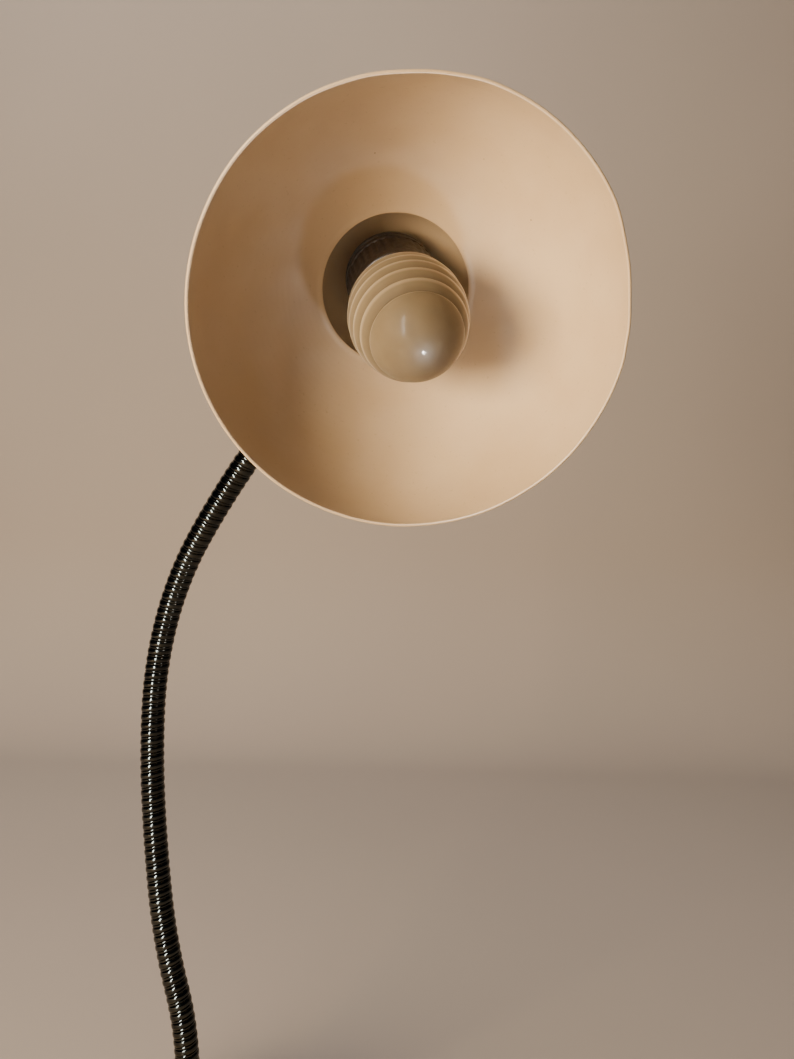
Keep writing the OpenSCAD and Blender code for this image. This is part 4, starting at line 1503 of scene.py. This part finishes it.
@dataclass
class Holder:
    """Dark lampholder with a domed cap and a ribbed skirt, and the cup washer on the dome.

    Attributes:
        head: Places of the head.
        radius: Outer radius of the holder.
        front: Height of its front rim.
        split: Height where the cap meets the skirt.
        inset: Depth of the ribbed band below the skirt's surface.
        ribs: Number of ribs round the band.
        rib: Height of the ribs.
        hole: Radius of the hole in the cap.
        seat_hollow: Radius of the washer's hollow.
    """

    head: HeadPlaces
    radius: float = 20.0
    front: float = 10.5
    split: float = -12.0
    inset: float = 0.35
    ribs: int = 36
    rib: float = 0.25
    hole: float = 4.9
    seat_hollow: float = 32.1

    def build(self) -> None:
        """Builds the cap, the skirt and the cup washer."""
        self.cap()
        self.skirt()
        self.cup_washer()

    def cap(self) -> None:
        """Turns the cap with a round shoulder and a fine bead at the split."""
        low, high = self.extent("holder_cap")
        r = self.radius
        outline = soften([
            (self.hole, low, 0), (9.0, low, 0.6), (15.0, low + 3.2, 6.0),
            (r - 0.6, high - 5.5, 4.0), (r - 0.1, high - 1.6, 0.4), (r - 0.5, high - 1.2, 0.2),
            (r - 0.5, high - 0.7, 0.2), (r - 0.1, high - 0.4, 0.2), (r - 0.1, high, 0.1),
            (r - 2, high, 0)], 5)
        outline += [(r - 2.2, high - 5.5), (14.0, low + 5.2), (8.5, low + 2.6),
                    (self.hole, low + 2.6)]
        cap = turn("holder_dome", outline, closed=True)
        place(cap, self.head.bulb)
        complete(cap, Finish.BAKELITE, "head", "holder_cap")

    def skirt(self) -> None:
        """Turns the skirt with a rounded front lip and ribs its band."""
        r, front, split = self.radius, self.front, self.split
        band, bore = r - self.inset, r - 2
        outline = soften([
            (bore, split, 0), (r, split, 0.3), (r, split + 3.0, 0.2), (band, split + 3.4, 0.1),
            (band, front - 5.0, 0.1), (r, front - 4.6, 0.2), (r, front, 1.0), (16.6, front, 0.8),
            (16.4, front - 4, 0.2), (bore, front - 4.4, 0.2), (bore, 5.4, 0.2), (14.4, 5.4, 0.2),
            (14.4, 4.0, 0.2), (bore, 4.0, 0)])
        skirt = turn("holder_skirt", outline, 144, closed=True)
        for vertex in skirt.data.vertices:
            reach = math.hypot(vertex.co.x, vertex.co.y) / MM
            on_band = split + 3.2 < vertex.co.z / MM < front - 4.8
            if abs(reach - band) < 0.05 and on_band:
                around = math.atan2(vertex.co.y, vertex.co.x)
                swell = 1 + self.rib / reach * math.cos(self.ribs * around)
                vertex.co.x *= swell
                vertex.co.y *= swell
        place(skirt, self.head.bulb)
        complete(skirt, Finish.BAKELITE, "head", "holder_body")

    def cup_washer(self) -> None:
        """Turns the washer whose hollow the dome turns in."""
        back = -self.head.seat
        outline = [(5.1, back), (9.9, back), (10.4, back + 0.25), (10.5, back + 0.6)]
        outline += [(r, -math.sqrt(self.seat_hollow ** 2 - r ** 2))
                    for r in (10.5, 9.2, 7.8, 6.5, 5.1)]
        washer = turn("cup_washer", outline, closed=True)
        place(washer, self.head.bulb)
        complete(washer, Finish.CHROME, "head", "outer_dome_seat")

    def extent(self, node: str) -> Point2:
        """Measures a node along the holder's axis.

        Args:
            node: Name of the node.

        Returns:
            Its lowest and highest point in millimetres.
        """
        back = self.head.bulb.inverted()
        heights = [(back @ v.co).z / MM for v in frame["nodes"][node].data.vertices]
        return min(heights), max(heights)


@dataclass
class Bulb:
    """Frosted bulb with ridges round its barrel, on a rolled screw cap.

    Attributes:
        head: Places of the head.
        tip: Height of the glass's tip.
        widest: Radius of the barrel at its widest.
        widest_z: Height of the widest place.
        barrel_r: Radius of the barrel's long curve.
        ridges: Number of whole ridges.
        pitch: Distance between ridges.
        first: Height where the first ridge starts.
        depth: Depth of the grooves.
        crest: Share of a ridge that its steep back takes.
        tier_steps: Edges in the outline of one ridge.
        dome_steps: Edges in the outline of the dome.
        glass_back: Height of the glass's back end in the cap.
        cap_front: Height of the cap's front edge.
        cap_len: Length of the cap.
        cap_r: Radius of the cap.
        threads: Turns of the cap's rolled thread.
        thread_pitch: Distance between them.
        thread_depth: Half the depth of the thread.
        thread_steps: Edges in the outline of one turn.
    """

    head: HeadPlaces
    tip: float = 62.0
    widest: float = 24.2
    widest_z: float = 29.0
    barrel_r: float = 38.0
    ridges: int = 5
    pitch: float = 5.9
    first: float = 18.6
    depth: float = 0.9
    crest: float = 0.2
    tier_steps: int = 15
    dome_steps: int = 30
    glass_back: float = 2.2
    cap_front: float = 10.0
    cap_len: float = 21.0
    cap_r: float = 13.1
    threads: int = 5
    thread_pitch: float = 3.3
    thread_depth: float = 0.6
    thread_steps: int = 8

    def build(self) -> None:
        """Builds the glass and the cap."""
        self.glass()
        self.cap()

    def barrel(self, z: float) -> float:
        """Radius of the smooth barrel at a height."""
        sink = self.barrel_r - math.sqrt(self.barrel_r ** 2 - (z - self.widest_z) ** 2)
        return self.widest - sink

    def ridged(self, z: float) -> float:
        """Gives the radius of the glass, whose ridges have a sharp crest and slope forwards.

        Args:
            z: Height in millimetres.

        Returns:
            The radius in millimetres.
        """
        t = ((z - self.first) / self.pitch) % 1.0
        if t < self.crest:
            fall = 0.5 + 0.5 * math.cos(math.pi * t / self.crest)
        else:
            fall = ((t - self.crest) / (1 - self.crest)) ** 1.4
        return self.barrel(z) - self.depth * fall

    def glass(self) -> None:
        """Turns the glass with its ridges and its round dome."""
        tiers = self.ridges + self.crest
        end = self.first + tiers * self.pitch
        neck = self.cap_r - 0.45
        flare = (self.ridged(self.first) - neck) / 2
        outline = [(0.0, self.glass_back), (neck - 1.2, self.glass_back),
                   (neck, self.glass_back + 1.0), (neck, self.cap_front),
                   (neck + 0.8, self.cap_front + 1.6), (neck + flare, self.cap_front + 4.4)]
        heights = [self.first + k * self.pitch / self.tier_steps
                   for k in range(round(tiers * self.tier_steps))]
        outline += [(self.ridged(z), z) for z in heights]
        end_r, rise = self.barrel(end), self.tip - end
        dome_r = (end_r ** 2 + rise ** 2) / (2 * rise)
        half = math.degrees(math.asin(min(end_r / dome_r, 1.0)))
        outline += arc((0, self.tip - dome_r), dome_r, 90 - half, 90, self.dome_steps)
        outline[-1] = (0.0, self.tip)
        glass = turn("ridged_glass", outline, 128)
        place(glass, self.head.bulb)
        finish = FrostedGlass(self.head.bulb, self.first, self.pitch, end, self.crest)
        complete(glass, finish, "bulb", "bulb_glass", 60)

    def cap(self) -> None:
        """Turns the screw cap with its rolled thread."""
        r, front = self.cap_r, self.cap_front
        back = front - self.cap_len
        outline = [(0.0, back + 1.0), (9.0, back + 0.6), (r - 2.4, back)]
        for k in range(self.threads * self.thread_steps + 1):
            rounds = k / self.thread_steps
            wave = self.thread_depth * math.sin(2 * math.pi * rounds)
            outline.append((r - 0.7 + wave, back + 0.8 + rounds * self.thread_pitch))
        outline += [(r - 0.5, front - 2.4), (r, front - 1.6), (r, front - 0.3), (r - 0.4, front),
                    (r - 0.5, front - 0.4)]
        cap = turn("rolled_thread_cap", outline)
        place(cap, self.head.bulb)
        complete(cap, Finish.CAP, "bulb", "bulb_cap", 50)


# ---- pieces kept from the frame ----


class KeptNodes:
    """Frame pieces that stay as they are and get their own finishes."""

    finishes: dict[Finish, tuple[str, ...]] = {
        Finish.PLATE: ("bottom_plate", "base_screws", "cover_pillars", "cord_clamp", "lower_nipple",
                       "lower_washer", "lower_nut", "upper_nipple", "arm_nipple",
                       "inner_dome_seat", "upper_nut"),
        Finish.IRON: ("ballast_weight",),
        Finish.BRASS: ("ballast_screws", "terminal_screws", "switch_tabs", "screw_shell",
                       "centre_contact", "holder_screws"),
        Finish.NYLON: ("terminal_block",),
        Finish.JACKET: ("base_leads", "holder_leads"),
        Finish.RUBBER: tuple(f"lamp_lead_{k:02d}" for k in range(1, 10)),
        Finish.PORCELAIN: ("holder_insert",),
        Finish.VITRITE: ("bulb_insulator",),
        Finish.CAP: ("bulb_contact",),
        Finish.STEM: ("bulb_filament",),
    }

    def dress(self) -> None:
        """Assigns each kept piece its finish."""
        for finish, names in self.finishes.items():
            material = Finishes.get(finish)
            for name in names:
                for slot in frame["nodes"][name].material_slots:
                    slot.material = material
            log.info("%s on %d kept pieces", finish.name.lower(), len(names))


# ---- room and light ----


@dataclass
class Stage:
    """Plain pale floor that sweeps up into a plain wall, in metres.

    Attributes:
        colour: Colour of the sweep.
        front: Distance that the floor comes towards the viewer.
        run: Distance behind the lamp where the floor starts to curve up.
        bend: Radius of the curve.
        top: Height of the wall.
        width: Width of both.
    """

    colour: Colour = (0.50, 0.44, 0.39)
    front: float = 2.2
    run: float = 0.75
    bend: float = 0.3
    top: float = 2.6
    width: float = 5.0

    def build(self) -> None:
        """Draws the floor and wall from the side, and widens them."""
        run, bend = self.run / MM, self.bend / MM
        outline: list[Point2] = [(-self.front / MM, 0.0), (0.0, 0.0), (run, 0.0)]
        outline += arc((run, bend), bend, -84, 0, 14)
        outline += [(run + bend, self.top / MM)]
        sweep = trace("floor_sweep", outline)
        across = Vector((0, self.width, 0))
        with editing(sweep):
            bpy.ops.mesh.extrude_region_move(TRANSFORM_OT_translate={"value": across})
            bpy.ops.mesh.select_all(action="SELECT")
            bpy.ops.transform.translate(value=-across / 2)
            bpy.ops.mesh.normals_make_consistent(inside=False)
        place(sweep, Matrix.Rotation(math.pi / 2, 4, "Z"))
        smooth(sweep, 60)
        paint = Paint("plain_sweep")
        faint = paint.ramp(paint.noise(paint.coords(), 1.4, 2), 0.3, 0.7)
        paint.feed(Roughness=0.9,
                   Base_Color=paint.mix(faint, self.colour, darker(self.colour, 0.94)))
        sweep.data.materials.append(paint.material)


@dataclass(frozen=True)
class Softbox:
    """One rectangular light.

    Attributes:
        name: Name of the light.
        at: Place of the light in metres.
        towards: Point that it faces.
        size: Width and height in metres.
        power: Power in watts.
        colour: Colour of its light.
        shine: Whether glossy surfaces mirror it.
        fill: Whether it lights surfaces.
    """

    name: str
    at: Corner
    towards: Corner
    size: Point2
    power: float
    colour: Colour
    shine: bool = True
    fill: bool = True

    def build(self) -> None:
        """Hangs the light."""
        data = bpy.data.lights.new(self.name, "AREA")
        data.shape = "RECTANGLE"
        data.size, data.size_y = self.size
        data.energy = self.power
        data.color = self.colour
        lamp = bpy.data.objects.new(self.name, data)
        bpy.context.scene.collection.objects.link(lamp)
        lamp.location = self.at
        look = Vector(self.towards) - Vector(self.at)
        lamp.rotation_euler = look.to_track_quat("-Z", "Y").to_euler()
        lamp.visible_camera = False
        lamp.visible_glossy = self.shine
        lamp.visible_diffuse = self.fill


@dataclass
class Room:
    """The softboxes and the dim, even light of the room round them.

    Attributes:
        colour: Colour of the room.
        light: Strength of its light on the lamp.
        seen: Strength that the camera sees.
        softboxes: The lights.
    """

    colour: Colour = (0.43, 0.46, 0.50)
    light: float = 0.06
    seen: float = 0.7
    softboxes: tuple[Softbox, ...] = (
        Softbox("key_left", (-0.60, -0.80, 0.25), (0.10, -0.05, 0.40), (0.52, 0.42), 32.0,
                (1.0, 0.75, 0.47), shine=False),
        Softbox("strip_left", (-0.28, -0.86, 0.28), (-0.03, 0.03, 0.25), (0.14, 0.9), 27.0,
                (0.96, 1.0, 0.95), fill=False),
        Softbox("room_top", (-0.5, 0.0, 1.9), (-0.1, 0.6, 0.2), (1.6, 1.6), 20.0,
                (1.0, 0.95, 0.92), shine=False),
        Softbox("tip_glint", (0.125, -0.101, 0.337), (0.105, -0.075, 0.388), (0.008, 0.008), 0.34,
                (1.0, 0.97, 0.92), fill=False))

    def build(self) -> None:
        """Hangs the lights and sets the room's own light."""
        for softbox in self.softboxes:
            softbox.build()
        world = bpy.data.worlds.new("dim_room")
        world.use_nodes = True
        nodes, links = world.node_tree.nodes, world.node_tree.links
        backdrop = nodes["Background"]
        backdrop.inputs["Color"].default_value = (*self.colour, 1.0)
        power = nodes.new("ShaderNodeMapRange")
        power.inputs["To Min"].default_value = self.light
        power.inputs["To Max"].default_value = self.seen
        is_camera = nodes.new("ShaderNodeLightPath").outputs["Is Camera Ray"]
        links.new(is_camera, power.inputs["Value"])
        links.new(power.outputs["Result"], backdrop.inputs["Strength"])
        bpy.context.scene.world = world


def main() -> None:
    """Sets the camera and builds the lamp's pieces in order, then the stage and the lights."""
    logging.basicConfig(level=logging.INFO, format="%(message)s")
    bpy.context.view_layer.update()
    deselect()
    VIEWER.set_camera()
    line, head = ArmLine(), HeadPlaces()
    Base().build()
    Gooseneck(line).build()
    Sockets(line, head).build()
    Shade(head).build()
    Holder(head).build()
    Bulb(head).build()
    KeptNodes().dress()
    Stage().build()
    Room().build()


if __name__ == "__main__":
    main()
